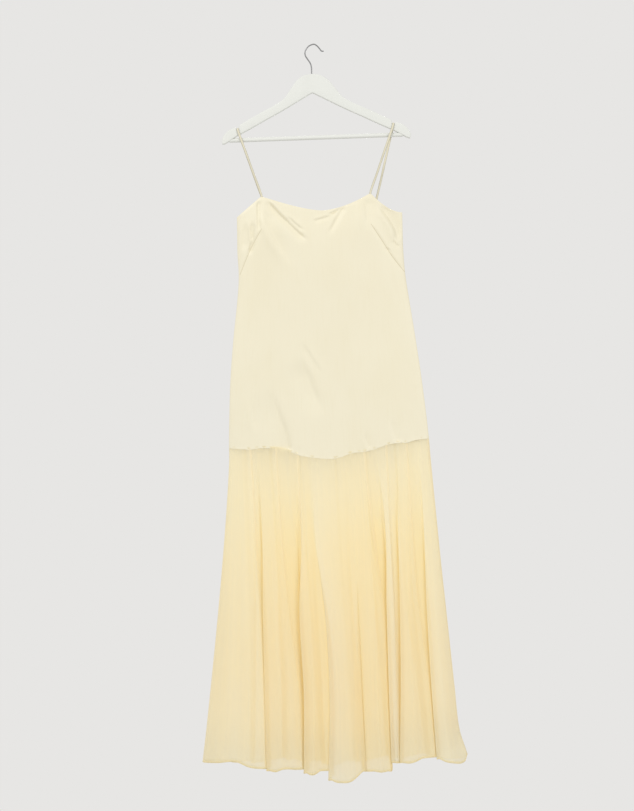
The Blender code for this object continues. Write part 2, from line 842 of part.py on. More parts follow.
def hanger_to_part(x, z):
    """Turns a point of the hanger's own drawing by its slight tilt, and moves it to the hanger."""
    turn = math.radians(HANGER_TILT)
    x = stretch(x)
    return (
        HANGER_X + x * math.cos(turn) - z * math.sin(turn),
        x * math.sin(turn) + z * math.cos(turn),
    )


STRAP_CORNER = ((0.5, -1.6), (2.6, 0.4))


def strap_route(side):
    """Middle line of a strap from the front edge over the hanger's notch to the back edge."""
    front_x = FRONT_EDGE.left_strap if side < 0 else FRONT_EDGE.right_strap
    back_x = BACK_EDGE.left_strap if side < 0 else BACK_EDGE.right_strap
    seat_x, seat_z = hanger_to_part(side * NOTCH_X, NOTCH_FLOOR)
    over = seat_z + SEAM_GAP + STRAP_THICKNESS / 2
    beside = HANGER_THICKNESS / 2 + STRAP_THICKNESS / 2 + SEAM_GAP
    ends = []
    for half, x in ((FRONT, front_x), (BACK, back_x)):
        u = (x - level(half.edge.strap_z, "centre")) / level(half.edge.strap_z, "half_width")
        z = half.edge.strap_z
        ends.append((x, half.facing * depth_at(half, u, z), z + SEAM_GAP))
    front, back = ends
    low = over - STRAP_BEND

    def leg(end, share, y):
        return (mix(seat_x, end[0], share), y, mix(low, end[2], share))

    front_leg = [leg(front, share, mix(-beside, front[1], share)) for share in (2 / 3, 1 / 3, 0.0)]
    back_leg = [leg(back, share, mix(beside, back[1], share)) for share in (0.0, 1 / 3, 2 / 3)]
    bend = [(inset, over + rise) for inset, rise in STRAP_CORNER]
    return [
        front,
        *front_leg,
        *[(seat_x, inset - beside, z) for inset, z in bend],
        (seat_x, 0.0, over + STRAP_CORNER[-1][1]),
        *[(seat_x, beside - inset, z) for inset, z in reversed(bend)],
        *back_leg,
        back,
    ]


def build_strap(name, side):
    """A flat tube of cloth, lofted from rings that stay square to its route but level at both ends."""
    route = [Vector(point) for point in smooth_line(strap_route(side), 1)]
    mesh = bpy.data.meshes.new(name)
    loft = bmesh.new()
    rings = []
    for index, place in enumerate(route):
        if index in (0, len(route) - 1):
            across = Vector((1.0, 0.0, 0.0))
            through = Vector((0.0, 1.0 if index == 0 else -1.0, 0.0))
        else:
            forward = (route[index + 1] - route[index - 1]).normalized()
            across = (Vector((1.0, 0.0, 0.0)) - forward * forward.x).normalized()
            through = across.cross(forward) * -1.0
        ring = []
        for k in range(STRAP_SIDES):
            angle = 2 * math.pi * k / STRAP_SIDES
            offset = across * (math.cos(angle) * STRAP_WIDTH / 2) + through * (
                math.sin(angle) * STRAP_THICKNESS / 2
            )
            ring.append(loft.verts.new((place + offset) * MM))
        rings.append(ring)
    for ring, following in zip(rings, rings[1:]):
        for k in range(STRAP_SIDES):
            after = (k + 1) % STRAP_SIDES
            loft.faces.new((ring[k], ring[after], following[after], following[k]))
    loft.faces.new(rings[0][::-1])
    loft.faces.new(rings[-1])
    bmesh.ops.recalc_face_normals(loft, faces=loft.faces)
    loft.to_mesh(mesh)
    loft.free()
    return place_object(name, mesh)


# Hanger


HUMP_AND_ARM = (
    (0.0, -68.0),
    (12.0, -69.6),
    (21.0, -72.0),
    (30.0, -77.3),
    (39.0, -85.5),
    (54.0, -105.0),
    (67.0, -122.0),
    (87.0, -136.0),
    (121.0, -152.5),
    (150.0, -167.3),
    (178.0, -182.3),
)
NOTCH = ((179.0, NOTCH_FLOOR), (184.8, NOTCH_FLOOR), (187.5, -187.0))
TIP_AND_UNDERSIDE = (
    (200.0, -191.2),
    (208.0, -196.5),
    (217.0, -207.0),
    (221.5, -218.0),
    (219.5, -226.0),
    (213.0, -224.5),
    (196.0, -214.5),
    (181.0, -206.0),
    (172.0, -201.8),
    (150.0, -191.0),
    (115.0, -173.0),
    (75.0, -153.0),
    (38.0, -133.0),
    (12.0, -118.8),
    (0.0, -112.5),
)
HOOK_ROUTE = (
    (0.0, -66.0),
    (0.0, -52.0),
    (-1.7, -44.0),
    (-9.1, -32.0),
    (-13.1, -25.5),
    (-14.1, -17.0),
    (-10.1, -8.0),
    (-3.1, -1.5),
    (7.9, 1.5),
    (14.4, -2.5),
    (19.9, -9.0),
    (23.9, -14.5),
    (29.2, -15.5),
)


def bar_ends():
    """The middles of the bar's two ends."""
    return [hanger_to_part(side * BAR_HALF_LENGTH, BAR_HEIGHT) for side in (-1, 1)]


def hanger_outline():
    """The right half of the body's outline and its mirror image, stretched, as one ring of points."""
    top = smooth_line(HUMP_AND_ARM, CURVE_STEPS)
    under = smooth_line(TIP_AND_UNDERSIDE, CURVE_STEPS)
    half = [*top, *NOTCH, *under]
    ring = half + [(-x, z) for x, z in half[-2:0:-1]]
    return [(stretch(x), z) for x, z in ring]


def stand_up(thing):
    """Turns a flat drawing upright, tilts it as it hangs and puts it on its centre line."""
    thing.location = (HANGER_X * MM, 0.0, 0.0)
    thing.rotation_euler = (math.radians(90.0), -math.radians(HANGER_TILT), 0.0)
    return thing


def to_mesh_object(thing):
    """Turns a curve object into a mesh object of the same name and place, with its caps welded."""
    graph = bpy.context.evaluated_depsgraph_get()
    mesh = bpy.data.meshes.new_from_object(thing.evaluated_get(graph))
    place = thing.matrix_world.copy()
    name, curve = thing.name, thing.data
    bpy.data.objects.remove(thing)
    bpy.data.curves.remove(curve)
    welded = bmesh.new()
    welded.from_mesh(mesh)
    bmesh.ops.remove_doubles(welded, verts=welded.verts, dist=WELD * MM)
    welded.to_mesh(mesh)
    welded.free()
    solid = place_object(name, mesh)
    solid.matrix_world = place
    return solid


def round_cutter(name, radius, length, place, along_x):
    """A hidden cylinder that drills a socket in the hanger's body."""
    bpy.ops.mesh.primitive_cylinder_add(vertices=SOCKET_SIDES, radius=radius * MM, depth=length * MM)
    cutter = bpy.context.object
    cutter.name = name
    if along_x:
        cutter.rotation_euler = (0.0, math.radians(90.0 - HANGER_TILT), 0.0)
    cutter.location = Vector((place[0], 0.0, place[1])) * MM
    cutter.hide_render = True
    cutter.display_type = "WIRE"
    for owner in list(cutter.users_collection):
        owner.objects.unlink(cutter)
    bpy.data.collections[CUTTER_COLLECTION].objects.link(cutter)
    return cutter


def build_hanger_body():
    """The flat wooden body with rounded edges, sockets for the bar and a drilled hole for the hook."""
    drawing = bpy.data.curves.new("hanger_body", "CURVE")
    drawing.dimensions = "2D"
    drawing.fill_mode = "BOTH"
    drawing.extrude = (HANGER_THICKNESS / 2 - HANGER_ROUND) * MM
    drawing.bevel_depth = HANGER_ROUND * MM
    drawing.bevel_resolution = 1
    drawing.offset = -HANGER_ROUND * MM
    outline = hanger_outline()
    line = drawing.splines.new("POLY")
    line.points.add(len(outline) - 1)
    for point, (x, z) in zip(line.points, outline):
        point.co = (x * MM, z * MM, 0.0, 1.0)
    line.use_cyclic_u = True
    flat = stand_up(place_object("hanger_body", drawing))
    bpy.context.view_layer.update()
    body = to_mesh_object(flat)
    bar_cutter = round_cutter(
        "bar_socket",
        BAR_RADIUS + SEAM_GAP,
        2 * (BAR_HALF_LENGTH + SEAM_GAP),
        [(left + right) / 2 for left, right in zip(*bar_ends())],
        True,
    )
    stem_x = HOOK_ROUTE[0][0]
    hole_cutter = round_cutter(
        "hook_socket",
        WIRE_RADIUS + SEAM_GAP,
        2 * HOOK_SOCKET,
        hanger_to_part(stem_x, HUMP_AND_ARM[0][1]),
        False,
    )
    for cutter in (bar_cutter, hole_cutter):
        cut = body.modifiers.new(cutter.name, "BOOLEAN")
        cut.operation = "DIFFERENCE"
        cut.object = cutter
    return body


def build_round_rod(name, points, radius, resolution):
    """A round rod along a route of (x, z) points in the mid plane."""
    curve = bpy.data.curves.new(name, "CURVE")
    curve.dimensions = "3D"
    curve.bevel_depth = radius * MM
    curve.bevel_resolution = resolution
    curve.use_fill_caps = True
    line = curve.splines.new("POLY")
    line.points.add(len(points) - 1)
    for point, (x, z) in zip(line.points, points):
        point.co = (x * MM, 0.0, z * MM, 1.0)
    return place_object(name, curve)


def build_hook():
    """The wire from the bottom of its hole, round over the peg, to its turned-out end."""
    foot = (HOOK_ROUTE[0][0], HUMP_AND_ARM[0][1] - HOOK_SOCKET + SEAM_GAP)
    route = [hanger_to_part(x, z) for x, z in (foot, *HOOK_ROUTE[1:])]
    return build_round_rod("hanger_hook", smooth_line(route, CURVE_STEPS), WIRE_RADIUS, WIRE_RESOLUTION)


def build_bar():
    """The trouser bar between its two sockets."""
    return build_round_rod("hanger_bar", bar_ends(), BAR_RADIUS, BAR_RESOLUTION)


def main():
    for thing in list(bpy.data.objects):
        bpy.data.objects.remove(thing)
    for title in (COLLECTION, CUTTER_COLLECTION):
        bpy.context.scene.collection.children.link(bpy.data.collections.new(title))
    for half in (FRONT, BACK):
        finish(build_bodice(half), SATIN_CREAM)
        for gore in build_skirt(half):
            finish(gore, CHIFFON_YELLOW)
    for name, side in (("strap_left", -1), ("strap_right", 1)):
        finish(build_strap(name, side), SATIN_CREAM)
    finish(build_hanger_body(), WHITE_PAINT)
    finish(build_bar(), WHITE_PAINT)
    finish(build_hook(), BRIGHT_STEEL)


main()
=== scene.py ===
"""The looks of the drop-waist maxi dress and its hanger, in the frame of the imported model.

Tables are in millimetres and MM turns them into metres. The front faces -Y, and its left side in a
front view is at -X. Heights count down from the inside top of the hook.
"""

import logging
import math
from dataclasses import dataclass, field
from enum import Enum
from typing import Any, Callable, Optional, Sequence, Union

import bmesh
import bpy
import numpy as np
from mathutils import Matrix, Vector


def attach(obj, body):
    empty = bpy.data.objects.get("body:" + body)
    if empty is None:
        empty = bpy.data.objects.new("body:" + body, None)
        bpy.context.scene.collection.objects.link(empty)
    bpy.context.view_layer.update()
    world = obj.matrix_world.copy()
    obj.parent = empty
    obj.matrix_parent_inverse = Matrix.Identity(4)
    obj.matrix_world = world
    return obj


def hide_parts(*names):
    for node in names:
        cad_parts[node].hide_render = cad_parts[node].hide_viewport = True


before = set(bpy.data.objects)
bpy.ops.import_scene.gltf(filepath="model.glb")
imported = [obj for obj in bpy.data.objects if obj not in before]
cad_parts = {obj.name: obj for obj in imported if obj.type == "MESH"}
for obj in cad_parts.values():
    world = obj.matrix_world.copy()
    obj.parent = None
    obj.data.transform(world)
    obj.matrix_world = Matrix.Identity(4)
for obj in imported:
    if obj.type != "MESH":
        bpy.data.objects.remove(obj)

MM = 0.001
BODY = "root"
LOG = logging.getLogger("dress")
TINY = 1e-6
FAR = 1e6
UPRIGHT = Matrix.Rotation(math.radians(90.0), 4, "X")

Array = np.ndarray
Number = Union[float, Array]


# Curves and interpolation


def mix(a: Number, b: Number, share: Number) -> Number:
    """The value at a share of the way from a to b."""
    return a + (b - a) * share


def ramp(low: float, high: float, value: Number) -> Number:
    """A smooth step from 0 at low to 1 at high."""
    share = np.clip((value - low) / (high - low), 0.0, 1.0)
    return share * share * (3.0 - 2.0 * share)


def bell(distance: Number, half_width: float) -> Number:
    """A smooth bump of height 1 that dies out a few half widths away."""
    return np.exp(-((distance / half_width) ** 2))


def along(stations: Sequence[float], values: Sequence[float], at: Number) -> Number:
    """Reads a smooth curve through values given at stations.

    Args:
        stations: Rising positions.
        values: The curve's value at each station.
        at: Where to read it, one number or many.

    Returns:
        The value or values there.
    """
    s, v = np.asarray(stations, float), np.asarray(values, float)
    order = np.arange(len(s))
    low, high = np.maximum(order - 1, 0), np.minimum(order + 1, len(s) - 1)
    slopes = (v[high] - v[low]) / (s[high] - s[low])
    at = np.clip(at, s[0], s[-1])
    i = np.clip(np.searchsorted(s, at, side="right") - 1, 0, len(s) - 2)
    span = s[i + 1] - s[i]
    f = (at - s[i]) / span
    start = v[i] * (2 * f**3 - 3 * f**2 + 1) + v[i + 1] * (3 * f**2 - 2 * f**3)
    return start + slopes[i] * span * (f**3 - 2 * f**2 + f) + slopes[i + 1] * span * (f**3 - f**2)


def smooth_line(points: Sequence[Sequence[float]], steps: int) -> Array:
    """Points on the centripetal spline through the given ones.

    Args:
        points: The points that the curve passes through.
        steps: How many pieces each span is cut into.

    Returns:
        One row for each point of the curve, both ends among them.
    """
    p = np.asarray(points, float)
    run = np.vstack([2 * p[0] - p[1], p, 2 * p[-1] - p[-2]])
    spans = len(p) - 1
    at = np.arange(spans * steps + 1) / steps
    i = np.minimum(at.astype(int), spans - 1)
    a, b, c, d = (run[i + k] for k in range(4))
    lengths = (np.linalg.norm(q - r, axis=1) for r, q in ((a, b), (b, c), (c, d)))
    gaps = [np.maximum(length, TINY)[:, None] ** 0.5 for length in lengths]
    t0 = np.zeros_like(gaps[0])
    t1, t2, t3 = gaps[0], gaps[0] + gaps[1], gaps[0] + gaps[1] + gaps[2]
    t = mix(t1, t2, (at - i)[:, None])

    def blend(low: Array, high: Array, start: Array, end: Array) -> Array:
        """Mixes two points by where t lies between their knots."""
        return ((end - t) * low + (t - start) * high) / (end - start)

    middle = blend(b, c, t1, t2)
    left = blend(blend(a, b, t0, t1), middle, t0, t2)
    right = blend(middle, blend(c, d, t2, t3), t1, t3)
    return blend(left, right, t1, t2)


def rise_and_fall(shares: Number, rise: float, fall: float) -> Number:
    """A weight that comes in over the first share of a length and dies out over the last."""
    return ramp(0.0, rise, shares) * (1.0 - ramp(1.0 - fall, 1.0, shares))


def waves(x: Number, parts: Sequence[Sequence[float]], drift: Number = 0.0) -> Number:
    """The sum of sine waves along x.

    Args:
        x: Where to read it.
        parts: Each wave's height, its length over 2 pi, how far the drift shifts it, and its phase.
        drift: What shifts the waves sideways, such as the way down.

    Returns:
        The sum there.
    """
    return sum(height * np.sin(x / length + shift * drift + phase) for height, length, shift, phase in parts)


# Node trees


@dataclass(frozen=True)
class Grain:
    """A noise: cells to a metre on each axis, octaves of detail and where it starts."""

    cells: tuple[float, float, float]
    detail: float
    seed: float


@dataclass(frozen=True)
class Band:
    """Where along a value something starts to show and shows in full, and how strongly it then does."""

    low: float
    high: float
    strength: float


class Nodes:
    """Adds nodes to a tree by type, and hands their outputs back as links that take part in maths.

    The three numbers are where a Mix node keeps its two colours and the mixed one.
    """

    FIRST_COLOUR = 6
    SECOND_COLOUR = 7
    MIXED_COLOUR = 2

    def __init__(self, tree: bpy.types.NodeTree) -> None:
        """Starts on an empty or existing tree."""
        self.tree = tree

    def add(
        self,
        kind: str,
        values: Optional[dict[Union[str, int], Any]] = None,
        settings: Optional[dict[str, Any]] = None,
        output: Union[str, int] = 0,
    ) -> "Link":
        """Adds one node.

        Args:
            kind: The node's type name.
            values: A number, colour or link for each input, by name or index.
            settings: Its own options, which are set first.
            output: The output that is handed back.

        Returns:
            The output as a link.
        """
        node = self.tree.nodes.new(kind)
        for title, setting in (settings or {}).items():
            setattr(node, title, setting)
        for title, value in (values or {}).items():
            socket = node.inputs[title]
            if isinstance(value, Link):
                self.tree.links.new(value.socket, socket)
            else:
                socket.default_value = value
        return Link(self, node.outputs[output] if node.outputs else None)

    def maths(self, operation: str, *values: Any) -> "Link":
        """Adds a Math node on up to three values."""
        return self.add("ShaderNodeMath", dict(enumerate(values)), {"operation": operation})

    def mix_colours(self, factor: Any, first: Any, second: Any) -> "Link":
        """Mixes two colours by a factor."""
        values = {"Factor": factor, self.FIRST_COLOUR: first, self.SECOND_COLOUR: second}
        return self.add("ShaderNodeMix", values, {"data_type": "RGBA"}, self.MIXED_COLOUR)

    def attribute(self, title: str) -> "Link":
        """Reads a number that the mesh holds at each point."""
        return self.add("ShaderNodeAttribute", settings={"attribute_name": title}, output="Fac")

    def noise(self, place: "Link", grain: Grain) -> "Link":
        """Noise from 0 to 1."""
        values = {"Vector": place, "Scale": grain.cells, "Location": (grain.seed,) * 3}
        scaled = self.add("ShaderNodeMapping", values)
        return self.add("ShaderNodeTexNoise", {"Vector": scaled, "Scale": 1.0, "Detail": grain.detail})

    def bump(self, strength: float, distance: float, height: "Link") -> "Link":
        """The normal that fine relief gives."""
        values = {"Strength": strength, "Distance": distance, "Height": height}
        return self.add("ShaderNodeBump", values)

    def cloth_place(self) -> "Link":
        """Where a point lies on the flat cloth, in metres."""
        return self.add("ShaderNodeUVMap", settings={"uv_map": "cloth"})

    def object_place(self) -> "Link":
        """Where a point lies in the object, in metres."""
        return self.add("ShaderNodeTexCoord", output="Object")


class Link:
    """An output socket that Python's own operators can do maths with."""

    def __init__(self, nodes: Nodes, socket: Optional[bpy.types.NodeSocket]) -> None:
        """Wraps one socket of a tree."""
        self.nodes = nodes
        self.socket = socket

    def __add__(self, other: Any) -> "Link":
        """Adds."""
        return self.nodes.maths("ADD", self, other)

    __radd__ = __add__

    def __sub__(self, other: Any) -> "Link":
        """Takes away."""
        return self.nodes.maths("SUBTRACT", self, other)

    def __rsub__(self, other: Any) -> "Link":
        """Takes this away from a number."""
        return self.nodes.maths("SUBTRACT", other, self)

    def __mul__(self, other: Any) -> "Link":
        """Multiplies."""
        return self.nodes.maths("MULTIPLY", self, other)

    __rmul__ = __mul__

    def step(self, low: float, high: float) -> "Link":
        """A smooth step from 0 at low to 1 at high."""
        values = {"Value": self, "From Min": low, "From Max": high}
        return self.nodes.add("ShaderNodeMapRange", values, {"interpolation_type": "SMOOTHSTEP"})

    def band(self, band: Band) -> "Link":
        """A smooth step over a band, up to the band's strength."""
        return self.step(band.low, band.high) * band.strength

    def clamped(self) -> "Link":
        """Keeps the value between 0 and 1."""
        return self.nodes.add("ShaderNodeClamp", {"Value": self})


# Finishes


Colour = tuple[float, float, float, float]
BLACK: Colour = (0.0, 0.0, 0.0, 1.0)


@dataclass(frozen=True)
class Finish:
    """What every finish has: a name, a roughness and a way to be built as a material."""

    name: str
    roughness: float

    def build(self) -> bpy.types.Material:
        """Makes the material once and hands it out again after that.

        Returns:
            The material.
        """
        made = bpy.data.materials.get(self.name)
        if made:
            return made
        material = bpy.data.materials.new(self.name)
        material.use_nodes = True
        material.node_tree.nodes.clear()
        nodes = Nodes(material.node_tree)
        shader = self.paint(nodes)
        nodes.add("ShaderNodeOutputMaterial", {"Surface": shader})
        return material

    def paint(self, nodes: Nodes) -> Link:
        """Adds the nodes of this finish and returns its shader."""
        raise NotImplementedError

    def principled(self, nodes: Nodes, colour: Any, bump: Optional[Link], **more: Any) -> Link:
        """A Principled shader.

        Args:
            nodes: The tree to add it to.
            colour: Its base colour or a link to one.
            bump: The normal that fine relief gives, if any.
            more: Values of other inputs, with underscores for the spaces in their names.

        Returns:
            The shader's output.
        """
        values = {"Base Color": colour, "Roughness": self.roughness}
        values.update({title.replace("_", " "): value for title, value in more.items()})
        if bump:
            values["Normal"] = bump
        return nodes.add("ShaderNodeBsdfPrincipled", values)


@dataclass(frozen=True)
class SatinFinish(Finish):
    """Cream satin: fine threads that run up and down, a soft sheen, slight clouding, and painted shade at
    turned edges, strap sides and darts.

    The spans are distances in millimetres from a dart's sewn line, and the tones say how much of the shade
    each noise brings in.
    """

    colour: Colour = (0.838, 0.783, 0.606, 1.0)
    shade: Colour = (0.800, 0.735, 0.535, 1.0)
    # Painted shade: the dark line drawn along each dart's groove
    dart_shade: Colour = (0.600, 0.530, 0.350, 1.0)
    dart_span: tuple[float, float] = (0.52, 1.3)
    dart_shade_tone: float = 0.6
    threads: Grain = Grain((1.0 / 0.00034, 120.0, 1.0), 1.0, 3.0)
    clouds: Grain = Grain((9.0, 5.0, 1.0), 2.0, 7.0)
    slubs: Grain = Grain((260.0, 14.0, 1.0), 2.0, 11.0)
    thread_tone: float = 0.12
    cloud_tone: Band = Band(0.35, 0.75, 0.35)
    slub_tone: Band = Band(0.45, 0.8, 0.25)
    relief: float = 0.00002
    relief_strength: float = 0.5
    sheen: float = 0.05
    sheen_roughness: float = 0.4

    def paint(self, nodes: Nodes) -> Link:
        """Adds the satin's nodes."""
        cloth = nodes.cloth_place()
        grains = (self.threads, self.clouds, self.slubs)
        threads, clouds, slubs = (nodes.noise(cloth, grain) for grain in grains)
        tone = clouds.band(self.cloud_tone) + slubs.band(self.slub_tone) + threads * self.thread_tone
        # Painted shade: a thin dark line along each dart's groove
        dart = 1.0 - nodes.attribute("dart").step(*self.dart_span)
        # Painted shade: this attribute darkens turned edges and strap sides towards the shade colour
        colour = nodes.mix_colours((tone + nodes.attribute("painted_shade")).clamped(), self.colour, self.shade)
        colour = nodes.mix_colours(dart * self.dart_shade_tone, colour, self.dart_shade)
        bump = nodes.bump(self.relief_strength, self.relief, threads + slubs)
        sheen = {"Sheen_Weight": self.sheen, "Sheen_Roughness": self.sheen_roughness}
        return self.principled(nodes, colour, bump, **sheen)


@dataclass(frozen=True)
class ChiffonFinish(Finish):
    """Sheer yellow chiffon: pale where it hangs free, deeper in folds (partly stacked layers, partly painted
    shade), denser at seams and hems.

    The spans are distances in millimetres from a seam or hem, and the bands are metres below the waist.
    The tones, for streaks, clouds and crepe, say how much each noise changes the warmth or the cover.
    """

    pale: Colour = (0.925, 0.855, 0.640, 1.0)
    # Deep colour of the folds: partly the stacked layers of cloth, partly painted shade inside the fold
    deep: Colour = (1.000, 0.800, 0.385, 1.0)
    edge: Colour = (0.940, 0.830, 0.520, 1.0)
    stripe: Colour = (1.000, 0.915, 0.700, 1.0)
    pale_glow: Colour = (0.970, 0.910, 0.700, 1.0)
    deep_glow: Colour = (1.000, 0.870, 0.480, 1.0)
    cover: float = 0.85
    hem_cover: float = 0.15
    seam_cover: float = 0.12
    seam_tone: float = 0.8
    glow_share: float = 0.42
    hem_span: tuple[float, float] = (0.84, 1.68)
    seam_span: tuple[float, float] = (4.5, 7.0)
    seam_fade: Band = Band(0.05, 0.35, 0.6)
    low_shade: Band = Band(0.60, 0.74, 0.07)
    streaks: Grain = Grain((120.0, 2.5, 1.0), 2.0, 5.0)
    clouds: Grain = Grain((14.0, 5.0, 1.0), 2.0, 9.0)
    crepe: Grain = Grain((1.0 / 0.0006, 1.0 / 0.0006, 1.0), 1.0, 2.0)
    warm_tones: tuple[float, ...] = (0.18, 0.16)
    cover_tones: tuple[float, ...] = (0.08, 0.08, 0.05)
    relief: float = 0.00003
    relief_strength: float = 0.4

    @staticmethod
    def uneven(value: Union[float, Link], noises: Sequence[Link], tones: Sequence[float]) -> Link:
        """Adds noises to a value, each around its own middle and by its own tone."""
        for noise, tone in zip(noises, tones):
            value = value + (noise - 0.5) * tone
        return value

    def paint(self, nodes: Nodes) -> Link:
        """Adds the chiffon's nodes."""
        cloth = nodes.cloth_place()
        noises = [nodes.noise(cloth, grain) for grain in (self.streaks, self.clouds, self.crepe)]
        hem = 1.0 - nodes.attribute("hem").step(*self.hem_span)
        across = 1.0 - nodes.attribute("seam").step(*self.seam_span)
        drop = nodes.add("ShaderNodeSeparateXYZ", {"Vector": cloth}, output="Y") * -1.0
        seam = across * (1.0 - drop.band(self.seam_fade))
        # warm mixes towards the deep colour: partly stacked layers, partly painted shade in the folds
        warm = self.uneven(nodes.attribute("warm"), noises, self.warm_tones).clamped()
        colour = nodes.mix_colours(hem, nodes.mix_colours(warm, self.pale, self.deep), self.edge)
        colour = nodes.mix_colours(seam * self.seam_tone, colour, self.stripe)
        low = drop.band(self.low_shade)
        thick = self.uneven(0.0, noises, self.cover_tones)
        cover = (self.cover + thick + hem * self.hem_cover + seam * self.seam_cover).clamped()
        bump = nodes.bump(self.relief_strength, self.relief, noises[2] + noises[0])
        front = self.principled(nodes, nodes.mix_colours(low, colour, BLACK), bump)
        glow = nodes.mix_colours(low, nodes.mix_colours(warm, self.pale_glow, self.deep_glow), BLACK)
        through = nodes.add("ShaderNodeBsdfTranslucent", {"Color": glow})
        cloth_shader = nodes.add("ShaderNodeMixShader", {0: self.glow_share, 1: front, 2: through})
        open_weave = nodes.add("ShaderNodeBsdfTransparent")
        return nodes.add("ShaderNodeMixShader", {0: cover, 1: open_weave, 2: cloth_shader})


@dataclass(frozen=True)
class ThreadFinish(Finish):
    """Spun sewing thread with its twist."""

    colour: Colour = (0.96, 0.88, 0.66, 1.0)
    shade: Colour = (0.92, 0.82, 0.56, 1.0)
    twist: Grain = Grain((1.0 / 0.0004,) * 3, 1.0, 1.0)

    def paint(self, nodes: Nodes) -> Link:
        """Adds the thread's nodes."""
        twist = nodes.noise(nodes.object_place(), self.twist)
        return self.principled(nodes, nodes.mix_colours(twist, self.colour, self.shade), None)


@dataclass(frozen=True)
class PaintedWoodFinish(Finish):
    """White paint over wood, with the grain just showing and slight soiling."""

    colour: Colour = (0.750, 0.760, 0.718, 1.0)
    shade: Colour = (0.670, 0.675, 0.630, 1.0)
    grain: Grain = Grain((35.0, 400.0, 900.0), 3.0, 4.0)
    soiling: Grain = Grain((18.0, 18.0, 18.0), 4.0, 8.0)
    grain_tone: float = 0.18
    soiling_tone: Band = Band(0.5, 0.85, 0.5)
    relief: float = 0.00006
    relief_strength: float = 0.5
    coat: float = 0.1
    coat_roughness: float = 0.5

    def paint(self, nodes: Nodes) -> Link:
        """Adds the painted wood's nodes."""
        place = nodes.object_place()
        grain = nodes.noise(place, self.grain)
        tone = nodes.noise(place, self.soiling).band(self.soiling_tone) + grain * self.grain_tone
        colour = nodes.mix_colours(tone.clamped(), self.colour, self.shade)
        bump = nodes.bump(self.relief_strength, self.relief, grain)
        return self.principled(nodes, colour, bump, Coat_Weight=self.coat, Coat_Roughness=self.coat_roughness)


@dataclass(frozen=True)
class SteelFinish(Finish):
    """Drawn steel wire with fine length-wise scratches."""

    colour: Colour = (0.33, 0.33, 0.33, 1.0)
    shade: Colour = (0.24, 0.24, 0.25, 1.0)
    marks: Grain = Grain((2200.0, 2200.0, 160.0), 2.0, 6.0)
    mark_span: tuple[float, float] = (0.4, 0.8)
    mark_roughness: float = 0.2

    def paint(self, nodes: Nodes) -> Link:
        """Adds the wire's nodes."""
        marks = nodes.noise(nodes.object_place(), self.marks)
        rough = nodes.maths("MULTIPLY_ADD", marks, self.mark_roughness, self.roughness)
        colour = nodes.mix_colours(marks.step(*self.mark_span), self.colour, self.shade)
        return self.principled(nodes, colour, None, Metallic=1.0, Roughness=rough)


SATIN = SatinFinish("cream_satin", 0.5)
# A darker copy of the satin for the straps: painted shade, so the thin straps read darker than the panels
SHADED_STRAP_SATIN = SatinFinish("strap_satin_painted_shade", 0.5, (0.800, 0.750, 0.575, 1.0), (0.430, 0.400, 0.300, 1.0))
CHIFFON = ChiffonFinish("yellow_chiffon", 0.8)
THREAD = ThreadFinish("yellow_thread", 0.7)
WHITE_PAINT = PaintedWoodFinish("painted_wood", 0.55)
STEEL = SteelFinish("bright_steel", 0.32)


class Slot(Enum):
    """The record's material slots."""

    SATIN = "satin"
    CHIFFON = "chiffon"
    WHITE_PAINT = "white_paint"
    HOOK_WIRE = "hook_wire"


# Meshes


# Degrees of bend from which an edge stays sharp
CLOTH_SHARP = 65.0
WOOD_SHARP = 40.0
ROD_SHARP = 50.0


def to_scene(name: str, data: bpy.types.ID) -> bpy.types.Object:
    """Puts data into the scene as an object at the origin."""
    thing = bpy.data.objects.new(name, data)
    bpy.context.scene.collection.objects.link(thing)
    return thing


def to_piece(name: str, mesh: bpy.types.Mesh, finish: Finish) -> bpy.types.Object:
    """Puts a mesh into the scene and gives it a finish.

    Args:
        name: The new object's name.
        mesh: The mesh.
        finish: The finish it gets.

    Returns:
        The object.
    """
    mesh.materials.clear()
    mesh.materials.append(finish.build())
    return to_scene(name, mesh)


def smooth(mesh: bpy.types.Mesh, sharp: float) -> None:
    """Shades a mesh smooth, apart from edges that bend by more than a number of degrees."""
    mesh.shade_smooth()
    mesh.set_sharp_from_angle(angle=math.radians(sharp))


def evaluated(holder: bpy.types.Object) -> bpy.types.Mesh:
    """The plain mesh that an object comes to, and the object taken away.

    Args:
        holder: The object.

    Returns:
        The mesh.
    """
    bpy.context.view_layer.update()
    mesh = bpy.data.meshes.new_from_object(holder.evaluated_get(bpy.context.evaluated_depsgraph_get()))
    bpy.data.objects.remove(holder)
    return mesh


def lengths_between(points: Array, axis: int) -> Array:
    """The distances from each point of a grid or line to the next along an axis."""
    return np.linalg.norm(np.diff(points, axis=axis), axis=-1)


def run_of(lengths: Array) -> Array:
    """How far along a line each of its points lies."""
    return np.concatenate([[0.0], np.cumsum(lengths)])


